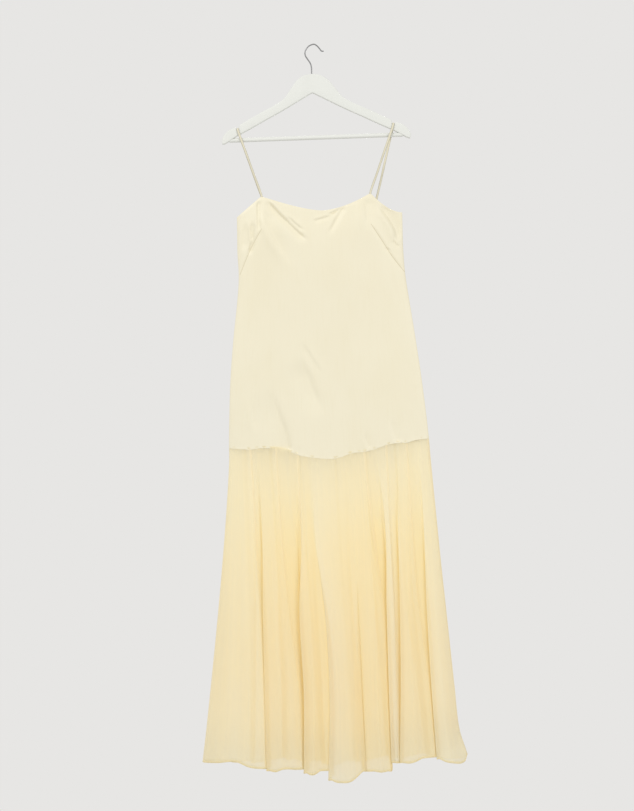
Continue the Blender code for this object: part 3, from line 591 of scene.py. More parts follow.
def sheet_mesh(name: str, grid: Array, facing: float, notes: dict[str, Array]) -> bpy.types.Mesh:
    """A single-layer cloth mesh from a grid of points, with a UV map in metres of cloth.

    Args:
        name: The mesh's name.
        grid: Points in metres, by row from the top and by column from the left.
        facing: -1 where the outer face looks to -Y, and 1 where it looks to +Y.
        notes: Numbers to keep at each point, by name, each shaped as the grid.

    Returns:
        The mesh.
    """
    rows, columns = grid.shape[:2]
    index = np.arange(rows * columns).reshape(rows, columns)
    a, b, c, d = index[:-1, :-1], index[1:, :-1], index[1:, 1:], index[:-1, 1:]
    order = (a, b, c, d) if facing < 0 else (a, d, c, b)
    faces = np.stack(order, axis=-1).reshape(-1, 4)
    mesh = bpy.data.meshes.new(name)
    mesh.from_pydata(grid.reshape(-1, 3).tolist(), [], faces.tolist())
    across = run_of(lengths_between(grid[rows // 2], 0))
    down = run_of(lengths_between(grid[:, columns // 2], 0))
    uv = np.stack(np.broadcast_arrays(across[None, :], -down[:, None]), axis=-1).reshape(-1, 2)
    layer = mesh.uv_layers.new(name="cloth")
    layer.data.foreach_set("uv", uv[faces.reshape(-1)].reshape(-1))
    for title, values in notes.items():
        kept = mesh.attributes.new(title, "FLOAT", "POINT")
        kept.data.foreach_set("value", np.ascontiguousarray(values, dtype=np.float32).reshape(-1))
    smooth(mesh, CLOTH_SHARP)
    return mesh


def declare(piece: bpy.types.Object, slot: Slot, *nodes: str) -> bpy.types.Object:
    """Makes a piece ride on the body and stand for its CAD nodes.

    Args:
        piece: The piece.
        slot: Its material slot; not used.
        nodes: The CAD nodes that it stands for.

    Returns:
        The same piece.
    """
    if nodes:
        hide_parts(*nodes)
    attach(piece, BODY)
    triangles = sum(len(face.vertices) - 2 for face in piece.data.polygons)
    LOG.info("%s: %d triangles", piece.name, triangles)
    return piece


# The outline of the dress


@dataclass(frozen=True)
class Level:
    """The outline of the dress at one height, with its middle's x and its depth in front and behind."""

    z: float
    half_width: float
    centre: float
    front: float
    back: float


@dataclass(frozen=True)
class Edge:
    """The top edge of a bodice panel, which peaks at the two straps.

    skew is how far its dip lies off centre.
    """

    left_strap: float
    right_strap: float
    strap_z: float
    dip: float
    bow: float
    left_side_z: float
    right_side_z: float
    skew: float = 0.0


@dataclass(frozen=True)
class Crease:
    """A soft trough or sharp fold in the satin, from its deep end to its faint end.

    Its steep wall is the one towards the light, and the other one where the crease is turned.
    """

    path: tuple[tuple[float, float], ...]
    depth: float
    width: float
    rise: float = 0.12
    fall: float = 0.75
    ridge: float = 0.35
    turned: bool = False


class Lip(Enum):
    """A side of a fold."""

    LEFT = "left"
    RIGHT = "right"
    BOTH = "both"
    NONE = "none"


@dataclass(frozen=True)
class Fold:
    """An inward fold between two flutes of the skirt, given at five stations from waist to hem.

    shoulder is where the cloth on its left starts to fall away and gap the space from there to its right
    lip. The cloth slopes in from one side and comes back behind the other, crisp one. reach is its depth
    at the hem as a share of the room in front of the mid plane, and tuck how far it runs on behind the
    crisp lip. ease and drop say how far the cloth bends before it falls in, and how deep that bend lies,
    on the sloping side. It opens below the share of the way down that start gives.
    """

    shoulder: tuple[float, ...]
    gap: tuple[float, ...]
    reach: float
    tuck: float
    crisp: Lip = Lip.RIGHT
    seam: Lip = Lip.LEFT
    ease: float = 16.0
    drop: float = 7.0
    start: float = 0.0


@dataclass(frozen=True)
class Flute:
    """The cloth between two folds: how deep its colour is at its left and right, partly painted shade, and
    its hem line.
    """

    warm_left: float
    warm_right: float
    inner_points: int
    hem: tuple[tuple[float, float], ...]


@dataclass(frozen=True)
class SoftFold:
    """A shallow rounded dip down the face of one flute, at the five stations."""

    x: tuple[float, ...]
    depth: tuple[float, ...]
    half_width: float


STATIONS = (0.0, 0.25, 0.5, 0.75, 1.0)
LEVELS = (
    Level(-340, 193.5, 0.5, 8, 7.5),
    Level(-400, 193.7, 1.8, 12, 10),
    Level(-440, 193.8, 1.5, 16, 12),
    Level(-480, 194.2, 1.3, 18, 13),
    Level(-540, 194.9, 3.6, 18, 13),
    Level(-600, 201.5, 4.5, 16, 13),
    Level(-677, 211.8, 4.7, 14, 13.5),
    Level(-776, 223, 5.8, 14, 14),
    Level(-874, 230.9, 8, 15, 15.5),
    Level(-931, 234.3, 9.2, 16, 17),
    Level(-972, 235.8, 10, 18, 19),
    Level(-1100, 245.9, 9, 27, 28),
    Level(-1218, 256.4, 7, 35, 35),
    Level(-1335, 268, 4.9, 42, 42),
    Level(-1511, 286.3, 0.8, 52, 51),
    Level(-1610, 297.3, -1.5, 57, 55.5),
    Level(-1675, 311, 2.8, 60, 58),
    Level(-1740, 317, 2, 62, 60),
)
FRONT_EDGE = Edge(-131.7, 121.3, -353.6, 35.5, 1.6, -399, -398, 14)
BACK_EDGE = Edge(-124.5, 133.5, -378, 14, 2, -399, -398)
WAIST_FRONT = (
    (-223, -939), (-176, -943), (-152, -940.5), (-134, -941), (-96, -946), (-78, -952.5), (-60, -960),
    (-23, -967), (12, -970), (36, -966), (59, -958.5), (88, -955.5), (109, -952), (124, -947),
    (147, -940), (175, -937), (192, -937), (211, -931.5), (243, -929),
)
WAIST_BACK = ((-223, -939), (-70, -946), (22, -950), (93, -944), (243, -929))
FRONT_FOLDS = (
    Fold((-172, -165, -160, -156, -156), (13, 12, 4, -1, -1.5), 0.82, 10, ease=9, drop=5),
    Fold((-112, -105, -92, -74, -70), (50, 44, 21, 8, -1), 0.80, 12, seam=Lip.BOTH, ease=20),
    Fold((-48, -34, -10, -5, -13), (14, 5, -1, -1.5, -1.5),
         0.55, 14, seam=Lip.NONE, ease=24, drop=4, start=0.3),
    Fold((55, 63, 66, 69, 73), (14, 14, 7, 0, -1.5), 0.30, 9, Lip.LEFT, Lip.NONE, 26, start=0.4),
    Fold((93, 109, 127, 130.5, 134), (27, 26, 5, 1, -1.5), 0.88, 9, ease=10, drop=5),
    Fold((145, 148.5, 153, 154, 153), (27, 16, 10, 5.5, -1), 0.62, 10, ease=5, drop=5),
    Fold((193, 200, 210, 229, 240), (26, 25, 15.5, 1.5, -1.5), 0.74, 9, ease=20),
)
BACK_FOLDS = (
    Fold((-186, -184, -184, -188, -194), (16, 15, 5, 1, -1.5), 0.80, 9, ease=12),
    Fold((-126, -120, -114, -108, -110), (24, 26, 12, 4, -1.5), 0.90, 11, Lip.LEFT, ease=20),
    Fold((-58, -52, -42, -34, -28), (26, 22, 6, 1, -1.5), 0.86, 10, ease=18),
    Fold((26, 30, 38, 46, 50), (24, 20, 9, 4, -1), 0.92, 12, ease=22),
    Fold((98, 104, 112, 124, 132), (26, 26, 14, 3, -1.5), 0.82, 9, Lip.LEFT, ease=16),
    Fold((166, 174, 184, 204, 220), (24, 20, 8, 1, -1.5), 0.80, 9, ease=12),
)
FRONT_FLUTES = (
    Flute(0.08, 0.15, 5, ((-312, -1671), (-262, -1668), (-213, -1666), (-190, -1679), (-156, -1682))),
    Flute(0.28, 0.3, 3, ((-153, -1687), (-130, -1689), (-107, -1683), (-69, -1685))),
    Flute(0.25, 0.45, 3, ((-69, -1694), (-52, -1698), (-33, -1696), (-16, -1690))),
    Flute(0, 0.35, 5, ((-15, -1712), (-2, -1717), (12, -1718), (38, -1715), (68, -1694))),
    Flute(0.35, 0.45, 3, ((75, -1694), (105, -1696), (135, -1695))),
    Flute(0.05, 0, 1, ((135, -1676), (155, -1677))),
    Flute(0.2, 0.35, 3, ((155, -1677), (189, -1678), (208, -1670), (240, -1668))),
    Flute(0.05, 0, 5, ((241, -1673), (255, -1680), (270, -1683.5), (305, -1686), (312, -1669))),
)
BACK_FLUTES = (
    Flute(0, 0.1, 5, ((-312, -1671), (-262, -1674), (-230, -1682), (-194, -1678))),
    Flute(0.3, 0.4, 3, ((-193, -1684), (-150, -1681), (-110, -1674))),
    Flute(0.2, 0.5, 3, ((-109, -1679), (-70, -1688), (-28, -1684))),
    Flute(0.1, 0.5, 4, ((-27, -1692), (12, -1696), (50, -1686))),
    Flute(0.3, 0.4, 3, ((51, -1690), (90, -1686), (132, -1676))),
    Flute(0.1, 0.5, 3, ((133, -1682), (180, -1680), (220, -1672))),
    Flute(0, 0, 5, ((221, -1678), (262, -1684), (305, -1680), (312, -1669))),
)
FRONT_SOFT = (
    SoftFold((-215, -215, -215, -217, -212), (0, 0, 1, 4, 7), 20),
)
BACK_SOFT = (
    SoftFold((-10, -8, -4, 2, 8), (0, 1, 3, 5, 7), 16),
    SoftFold((246, 248, 252, 262, 270), (0, 0, 1, 3, 5), 14),
)

DARTS = (
    Crease(((-134, -428), (-157, -466), (-173, -499), (-188, -533)), 0.6, 3.4, 0.1, 0.1, 0.3),
    Crease(((121.5, -424), (146, -463), (170, -502), (197, -537)), 0.6, 3.4, 0.1, 0.1, 0.3),
)
FRONT_CREASES = (
    Crease(((-121, -361), (-102, -385), (-77, -412), (-45, -444), (-28, -460)), 2.8, 5.5, 0.15, 0.2),
    Crease(((-76, -397), (-62, -413), (-34, -438)), 1.8, 4, 0.3, 0.3),
    Crease(((-128, -378), (-118, -408), (-104, -446), (-74, -499), (-58, -524)), 1.9, 10, 0.2, 0.5, 0.5),
    Crease(((-141.5, -360), (-142, -398), (-142, -438)), 1.7, 3.8, 0.15, 0.3),
    Crease(((-158, -408), (-158.5, -436), (-157, -464)), 1.6, 3.2, 0.3, 0.3),
    Crease(((-156, -450), (-161, -467), (-168, -490)), 1.8, 4, 0.4, 0.4, 0.1),
    Crease(((-173, -410), (-177, -450), (-180, -484)), 1.3, 8, 0.35, 0.35, 0.5),
    Crease(((-18, -414), (6, -408), (30, -402)), 1, 3.2, 0.3, 0.3),
    Crease(((20, -400), (40, -392), (62, -375)), 1.3, 3.4, 0.3, 0.3),
    Crease(((66, -378), (51, -394), (34, -422), (18, -450)), 1.4, 4.2, 0.2, 0.3, 0.15),
    Crease(((136, -374), (151, -391), (169, -416), (181, -440), (184, -466)), 2.9, 8.5, 0.3, 0.2),
    Crease(((172, -462), (180, -474), (188, -478)), 0.9, 3.2, 0.3, 0.3),
    Crease(((156, -478), (160, -484), (166, -487)), 0.7, 2.6, 0.3, 0.3),
    Crease(((112, -362), (114, -400), (115, -445)), 1.5, 10, 0.2, 0.5, 0.6),
    Crease(((-52, -690), (-40, -712), (-17, -750), (3, -780)), 0.8, 6.5, 0.3, 0.4, turned=True),
    Crease(((-58, -728), (-41, -769), (-27, -810), (-14, -844), (-2, -871)), 2.9, 18, 0.35, 0.4, 0.1, True),
    Crease(((-87, -950), (-96, -904), (-107, -870), (-118, -831), (-128, -792)),
           2.8, 15, 0.05, 0.5, 0.1, True),
    Crease(((-163, -905), (-165, -860), (-164, -810)), 0.9, 8, 0.3, 0.5, 0.5),
    Crease(((168, -936), (160, -905), (156, -875)), 1.2, 6, 0.1, 0.6),
    Crease(((100, -948), (96, -925), (94, -905)), 1, 5, 0.1, 0.6),
)
BACK_CREASES = (
    Crease(((-122, -386), (-96, -440), (-64, -520)), 2.4, 12, 0.2, 0.5),
    Crease(((128, -388), (100, -450), (68, -540)), 2.4, 12, 0.2, 0.5),
    Crease(((150, -392), (168, -420), (180, -470)), 2.6, 8, 0.2, 0.4),
    Crease(((-150, -392), (-166, -424), (-178, -480)), 2.2, 8, 0.2, 0.4),
    Crease(((-20, -404), (4, -410), (34, -406)), 1.1, 3.4, 0.3, 0.3),
    Crease(((70, -930), (58, -860), (40, -780)), 2.6, 15, 0.1, 0.5),
    Crease(((-110, -930), (-96, -870), (-90, -800)), 2, 13, 0.1, 0.5),
    Crease(((-30, -640), (10, -690), (50, -730)), 1.2, 14, 0.3, 0.4),
)


@dataclass(frozen=True)
class Half:
    """The front or the back of the dress, with the sign of y on that side."""

    name: str
    facing: float
    edge: Edge
    waist: tuple
    folds: tuple[Fold, ...]
    flutes: tuple[Flute, ...]
    soft: tuple[SoftFold, ...]
    creases: tuple[Crease, ...]
    darts: tuple[Crease, ...]


FRONT = Half(
    "front", -1.0, FRONT_EDGE, WAIST_FRONT, FRONT_FOLDS, FRONT_FLUTES, FRONT_SOFT, FRONT_CREASES, DARTS
)
BACK = Half("back", 1.0, BACK_EDGE, WAIST_BACK, BACK_FOLDS, BACK_FLUTES, BACK_SOFT, BACK_CREASES, ())


@dataclass(frozen=True)
class Outline:
    """The form that the bodice and the skirt share."""

    lens_power: float = 3.0
    lens_round: float = 0.6
    closed: float = 0.08
    side_waist: float = -945.0
    skirt_top: float = -950.0
    skirt_bottom: float = -1690.0

    def level(self, z: Number, column: str) -> Number:
        """One column of the level table at one height or many."""
        rows = sorted(LEVELS, key=lambda row: row.z)
        return along([row.z for row in rows], [getattr(row, column) for row in rows], z)

    def line_z(self, line: Sequence[tuple[float, float]], x: Number) -> Number:
        """The height of a seam or hem line at x."""
        return along([point[0] for point in line], [point[1] for point in line], x)

    def share_of(self, x: Number, z: Number) -> Number:
        """x as a share of the half width, from the centre line, at a height."""
        return (x - self.level(z, "centre")) / self.level(z, "half_width")

    def x_of(self, u: Number, z: Number) -> Number:
        """x at a share u of the half width at a height."""
        return self.level(z, "centre") + u * self.level(z, "half_width")

    def lens(self, u: Number) -> Number:
        """Share of the full depth at a share u of the half width."""
        return np.maximum(1.0 - np.abs(u) ** self.lens_power, 0.0) ** self.lens_round

    def depth(self, half: Half, u: Number, z: Number) -> Number:
        """How far the cloth stands from the mid plane."""
        return np.maximum(self.level(z, half.name) * self.lens(u), self.closed)

    def waist_depth(self, half: Half, x: Number) -> Number:
        """Depth of the waist seam at x."""
        z = self.line_z(half.waist, x)
        return self.depth(half, self.share_of(x, z), z)

    def side_x(self, half: Half, side: int, t: float) -> float:
        """x of a side seam at a share t of the way from waist to hem.

        Args:
            half: The front or the back.
            side: -1 for the left and 1 for the right.
            t: 0 at the waist, 1 at the hem.

        Returns:
            x there.
        """
        outermost = 0 if side < 0 else -1
        waist_z = self.line_z(half.waist, side * self.level(self.side_waist, "half_width"))
        hem_z = half.flutes[outermost].hem[outermost][1]
        return float(self.x_of(side, mix(waist_z, hem_z, t)))


OUTLINE = Outline()


# Bodice


NO_DART = 20.0  # millimetres, further than a dart's stitches show


@dataclass(frozen=True)
class Bodice:
    """The two satin panels, each one layer with turned-in edges at the top and at the drop waist.

    top_turn and seam_turn are the rows of those edges: how far each lies behind the panel, the top ones as
    shares of edge_roll, and how far it lies above the edge. The rolls shrink where the room behind the
    panel, times roll_room, is less than edge_roll.
    """

    columns: int = 220
    column_crowding: float = 1.12
    strap_flat: float = 3.5
    mark_room: float = 0.004
    side_probe: float = 16.0
    right_bow: float = 1.8
    upper_rows: int = 100
    lower_rows: int = 130
    upper_share: float = 0.30
    last_share: float = 0.9985
    hip_row: int = -8
    bust_mound: float = 6.0
    bust_spread: float = 55.0
    bust_inward: float = 0.85
    bust_rise: float = 10.0
    side_calm: float = 0.93
    edge_calm: float = 6.0
    edge_relief: float = 0.35
    edge_roll: float = 1.3
    roll_room: float = 0.6
    top_turn: tuple = ((1.0, -15.0), (1.0, -4.0), (0.98, -0.6), (0.75, 0.25), (0.45, 0.35), (0.12, 0.2))
    seam_turn: tuple = ((0.3, 0.05), (0.45, 0.8), (0.5, 7.0))
    # Painted shade on the rolled rows of the top edge and of the waist seam
    edge_shade: float = 0.7
    seam_shade: float = 0.15
    seam_flare: float = 0.5
    flare_height: float = 4.5
    pucker: float = 0.45
    pucker_waves: tuple = ((1.0, 3.1, 0.0, 0.0), (0.7, 5.3, 0.0, 1.0), (0.6, 9.7, 0.0, 2.0))
    pucker_left: float = 0.45
    pucker_span: tuple[float, float] = (40.0, 160.0)
    pucker_height: float = 9.0
    pucker_start: float = 1.5
    crease_scale: float = 2.0
    crease_steps: int = 6
    press_share: float = 0.85
    least_room: float = 0.01
    steep: float = 0.6
    gentle: float = 1.9
    ridge_at: float = 1.6
    ridge_width: float = 0.9
    light_side: tuple[float, float] = (-0.55, 0.83)

    def build(self, half: Half) -> bpy.types.Object:
        """Makes one panel.

        Args:
            half: The front or the back.

        Returns:
            The finished piece, declared.
        """
        x, depth, z, painted_shade = self.surface(half)
        grid = np.stack([x, half.facing * depth, z], axis=-1) * MM
        name = f"bodice_{half.name}"
        notes = {"painted_shade": painted_shade, "dart": self.dart_line(half, x, z)}
        mesh = sheet_mesh(f"{name}_cloth", grid, half.facing, notes)
        piece = declare(to_piece(f"{name}_cloth", mesh, SATIN), Slot.SATIN, name)
        self.panel_area(half)
        return piece

    def panel_area(self, half: Half) -> float:
        """The flat area of a panel in square metres, between its edge, seam and side lines.

        Args:
            half: The front or the back.

        Returns:
            The area.
        """
        u, z_top, z_low = self.ends(half)
        height = z_top - z_low
        width = np.gradient(OUTLINE.level((z_top + z_low) / 2, "half_width") * u)
        return float((height * width).sum()) * MM * MM

    def ends(self, half: Half) -> tuple[Array, Array, Array]:
        """Share of the half width, top height and waist height of each column.

        Args:
            half: The front or the back.

        Returns:
            The three arrays.
        """
        edge = half.edge
        top = OUTLINE.level(edge.strap_z, "half_width")
        straps = [OUTLINE.share_of(x, edge.strap_z) for x in (edge.left_strap, edge.right_strap)]
        marks = [s + side * self.strap_flat / top for s in straps for side in (-1, 1)]
        even = np.linspace(-1.0, 1.0, self.columns)
        bent = np.sign(even) * (1.0 - (1.0 - np.abs(even)) ** self.column_crowding)
        kept = [u for u in bent if all(abs(u - mark) > self.mark_room for mark in marks)]
        u = np.array(sorted([*kept, *marks]))
        top_x = OUTLINE.x_of(u, edge.strap_z - self.side_probe)
        left, right = OUTLINE.side_x(half, -1, 0.0), OUTLINE.side_x(half, 1, 0.0)
        seam_x = mix(left, right, (u + 1.0) / 2)
        return u, self.top_z(edge, top_x), OUTLINE.line_z(half.waist, seam_x)

    def top_z(self, edge: Edge, x: Array) -> Array:
        """The height of the top edge at each x.

        Args:
            edge: The panel's top edge.
            x: x of each column.

        Returns:
            The heights.
        """
        left_end, right_end = edge.left_strap - self.strap_flat, edge.right_strap
        outside_left = (left_end - x) / (left_end - float(x[0]))
        outside_right = (x - right_end - self.strap_flat) / (float(x[-1]) - right_end - self.strap_flat)
        inner = (edge.right_strap - edge.left_strap) / 2 - self.strap_flat
        across = np.clip((x - (edge.left_strap + edge.right_strap) / 2) / inner, -1.0, 1.0)
        across = across - edge.skew / inner * (1.0 - across**2)
        z = edge.strap_z - edge.dip * (1.0 - np.abs(across) ** edge.bow)
        z = np.where(outside_left > 0, mix(edge.strap_z, edge.left_side_z, np.clip(outside_left, 0, 1)), z)
        bowed = 1.0 - (1.0 - np.clip(outside_right, 0, 1)) ** self.right_bow
        return np.where(outside_right > 0, mix(edge.strap_z, edge.right_side_z, bowed), z)

    def surface(self, half: Half) -> tuple[Array, Array, Array, Array]:
        """Works out x, depth, height and painted shade of every point, turned edges included.

        Args:
            half: The front or the back.

        Returns:
            The four arrays, by row and column.
        """
        u, z_top, z_low = self.ends(half)
        upper = np.linspace(0.0, self.upper_share, self.upper_rows, endpoint=False)
        lower = np.linspace(self.upper_share, 1.0, self.lower_rows)
        share = np.concatenate([upper, lower[:-1], [self.last_share, 1.0]])[:, None]
        z = z_top + (z_low - z_top) * share
        x = OUTLINE.x_of(u, z)
        plain = OUTLINE.depth(half, u[None, :], z)
        inside = 1.0 - ramp(self.side_calm, 1.0, np.abs(u))[None, :]
        depth = plain + self.kept_open(self.relief(half, x, z) * inside, plain)
        edge_ease = ramp(0.0, self.edge_calm, z_top[None, :] - z)
        depth = mix(plain, depth, mix(self.edge_relief, 1.0, edge_ease))
        below = z - z_low[None, :]
        depth += self.puckers(x, below) * inside
        depth += self.seam_flare * (1.0 - ramp(0.0, self.flare_height, below)) * inside
        return self.turn_edges(x, np.maximum(depth, OUTLINE.closed), z)

    def turn_edges(self, x: Array, depth: Array, z: Array) -> tuple[Array, Array, Array, Array]:
        """Adds the rows that roll in at the top edge and at the waist seam, and the painted shade of every
        point.

        Args:
            x: x of each point.
            depth: Depth of each point.
            z: Height of each point.

        Returns:
            x, depth, height and painted shade, by row and column.
        """

        def follow(heights: Array) -> Array:
            """The panel's own depth in each column at a height."""
            columns = range(len(heights))
            return np.array([np.interp(-heights[j], -z[:, j], depth[:, j]) for j in columns])

        def rolled(row: int, steps: Sequence) -> tuple[list, list, list]:
            """The rows of one turned edge, which lie behind the panel's own surface."""
            heights = [z[row] + rise for _, rise in steps]
            surface = [follow(height) for height in heights]
            rooms = [np.minimum(there * self.roll_room, self.edge_roll) / self.edge_roll for there in surface]
            depths = [there - inset * room for there, room, (inset, _) in zip(surface, rooms, steps)]
            return [x[row]] * len(steps), depths, heights

        above = rolled(0, [(self.edge_roll * inset, rise) for inset, rise in self.top_turn])
        beneath = rolled(-1, self.seam_turn)
        parts = [np.vstack([a, full, b]) for a, full, b in zip(above, (x, depth, z), beneath)]
        # Painted shade: the rolled edge rows are darkened in the satin's colour
        painted_shade = np.zeros_like(parts[0])
        painted_shade[: len(self.top_turn)] = self.edge_shade
        painted_shade[-len(self.seam_turn) :] = self.seam_shade
        return (*parts, painted_shade)

    def relief(self, half: Half, x: Array, z: Array) -> Array:
        """The bust, the darts and the creases, as depth added to the plain form.

        Args:
            half: The front or the back.
            x: x of each point.
            z: Height of each point.

        Returns:
            The depth to add.
        """
        depth = np.zeros_like(z)
        for dart in half.darts:
            tip_x, tip_z = dart.path[0]
            away = np.hypot(x - tip_x * self.bust_inward, z - tip_z - self.bust_rise)
            depth += self.bust_mound * bell(away, self.bust_spread)
        for crease in (*half.darts, *half.creases):
            depth -= self.press(crease, x, z)
        return depth

    def kept_open(self, relief: Array, plain: Array) -> Array:
        """The relief with its presses eased off where they would meet the other panel."""
        room = np.maximum(self.press_share * (plain - OUTLINE.closed), self.least_room)
        return np.where(relief < 0, room * np.tanh(relief / room), relief)

    def measure(self, crease: Crease, x: Array, z: Array) -> tuple[Array, Array]:
        """Distance of each point from a crease and its share of the way along it.

        The distance is positive on the upper left of the crease, the side that the light comes from.

        Args:
            crease: The crease.
            x: x of each point.
            z: Height of each point.

        Returns:
            The distances and the shares.
        """
        line = smooth_line(crease.path, self.crease_steps)
        chord = line[-1] - line[0]
        lit_side = math.copysign(1.0, float(chord[0] * self.light_side[1] - chord[1] * self.light_side[0]))
        lit_side = -lit_side if crease.turned else lit_side
        distance = np.full(x.shape, FAR)
        share = np.zeros(x.shape)
        lengths = lengths_between(line, 0)
        run = run_of(lengths) / lengths.sum()
        for i, (a, b) in enumerate(zip(line, line[1:])):
            f = np.clip(((x - a[0]) * (b[0] - a[0]) + (z - a[1]) * (b[1] - a[1])) / lengths[i] ** 2, 0.0, 1.0)
            off_x, off_z = x - mix(a[0], b[0], f), z - mix(a[1], b[1], f)
            away = np.hypot(off_x, off_z)
            normal = lit_side * np.array([a[1] - b[1], b[0] - a[0]])
            lit = np.where(off_x * normal[0] + off_z * normal[1] > 0, away, -away)
            closer = away < np.abs(distance)
            distance = np.where(closer, lit, distance)
            share = np.where(closer, mix(run[i], run[i + 1], f), share)
        return distance, share

    def press(self, crease: Crease, x: Array, z: Array) -> Array:
        """How deep one crease presses the cloth in: steep on its upper side, with a ridge, and easy below.

        Args:
            crease: The crease.
            x: x of each point.
            z: Height of each point.

        Returns:
            The depth to take away.
        """
        distance, share = self.measure(crease, x, z)
        weight = rise_and_fall(share, crease.rise, crease.fall)
        width = np.where(distance > 0, crease.width * self.steep, crease.width * self.gentle)
        ridge = crease.ridge * bell(distance - crease.width * self.ridge_at, crease.width * self.ridge_width)
        return self.crease_scale * crease.depth * weight * (bell(distance, width) - ridge)

    def dart_line(self, half: Half, x: Array, z: Array) -> Array:
        """Distance of each point from the nearest dart's sewn line, in millimetres.

        Args:
            half: The front or the back.
            x: x of each point.
            z: Height of each point.

        Returns:
            The distances.
        """
        nearest = np.full(x.shape, NO_DART)
        for dart in half.darts:
            distance, _ = self.measure(dart, x, z)
            nearest = np.minimum(nearest, np.abs(distance))
        return nearest

    def puckers(self, x: Array, below: Array) -> Array:
        """Small ripples that the waist seam draws into the satin, stronger towards the right.

        Args:
            x: x of each point.
            below: Height of each point above the waist seam.

        Returns:
            The depth to add.
        """
        strength = self.pucker * mix(self.pucker_left, 1.0, ramp(*self.pucker_span, x))
        fade = np.exp(-below / self.pucker_height)
        return strength * waves(x, self.pucker_waves) * fade * ramp(0.0, self.pucker_start, below)


# Skirt


@dataclass
class Section:
    """Control points of one half of the skirt at one height, in order along the cloth."""

    points: list[list[float]] = field(default_factory=list)
    warmth: list[float] = field(default_factory=list)
    hem_z: list[float] = field(default_factory=list)
    seams: list[int] = field(default_factory=list)

    def add(self, x: float, depth: float, warmth: float, hem_z: float) -> None:
        """Adds one point with its warmth of colour and the height at which its hem lies.

        Args:
            x: x of the point.
            depth: Its depth.
            warmth: The warmth of its colour.
            hem_z: The height of the hem there.
        """
        self.points.append([x, depth])
        self.warmth.append(warmth)
        self.hem_z.append(hem_z)


NO_HEM = 40.0  # millimetres, further than a hem shows


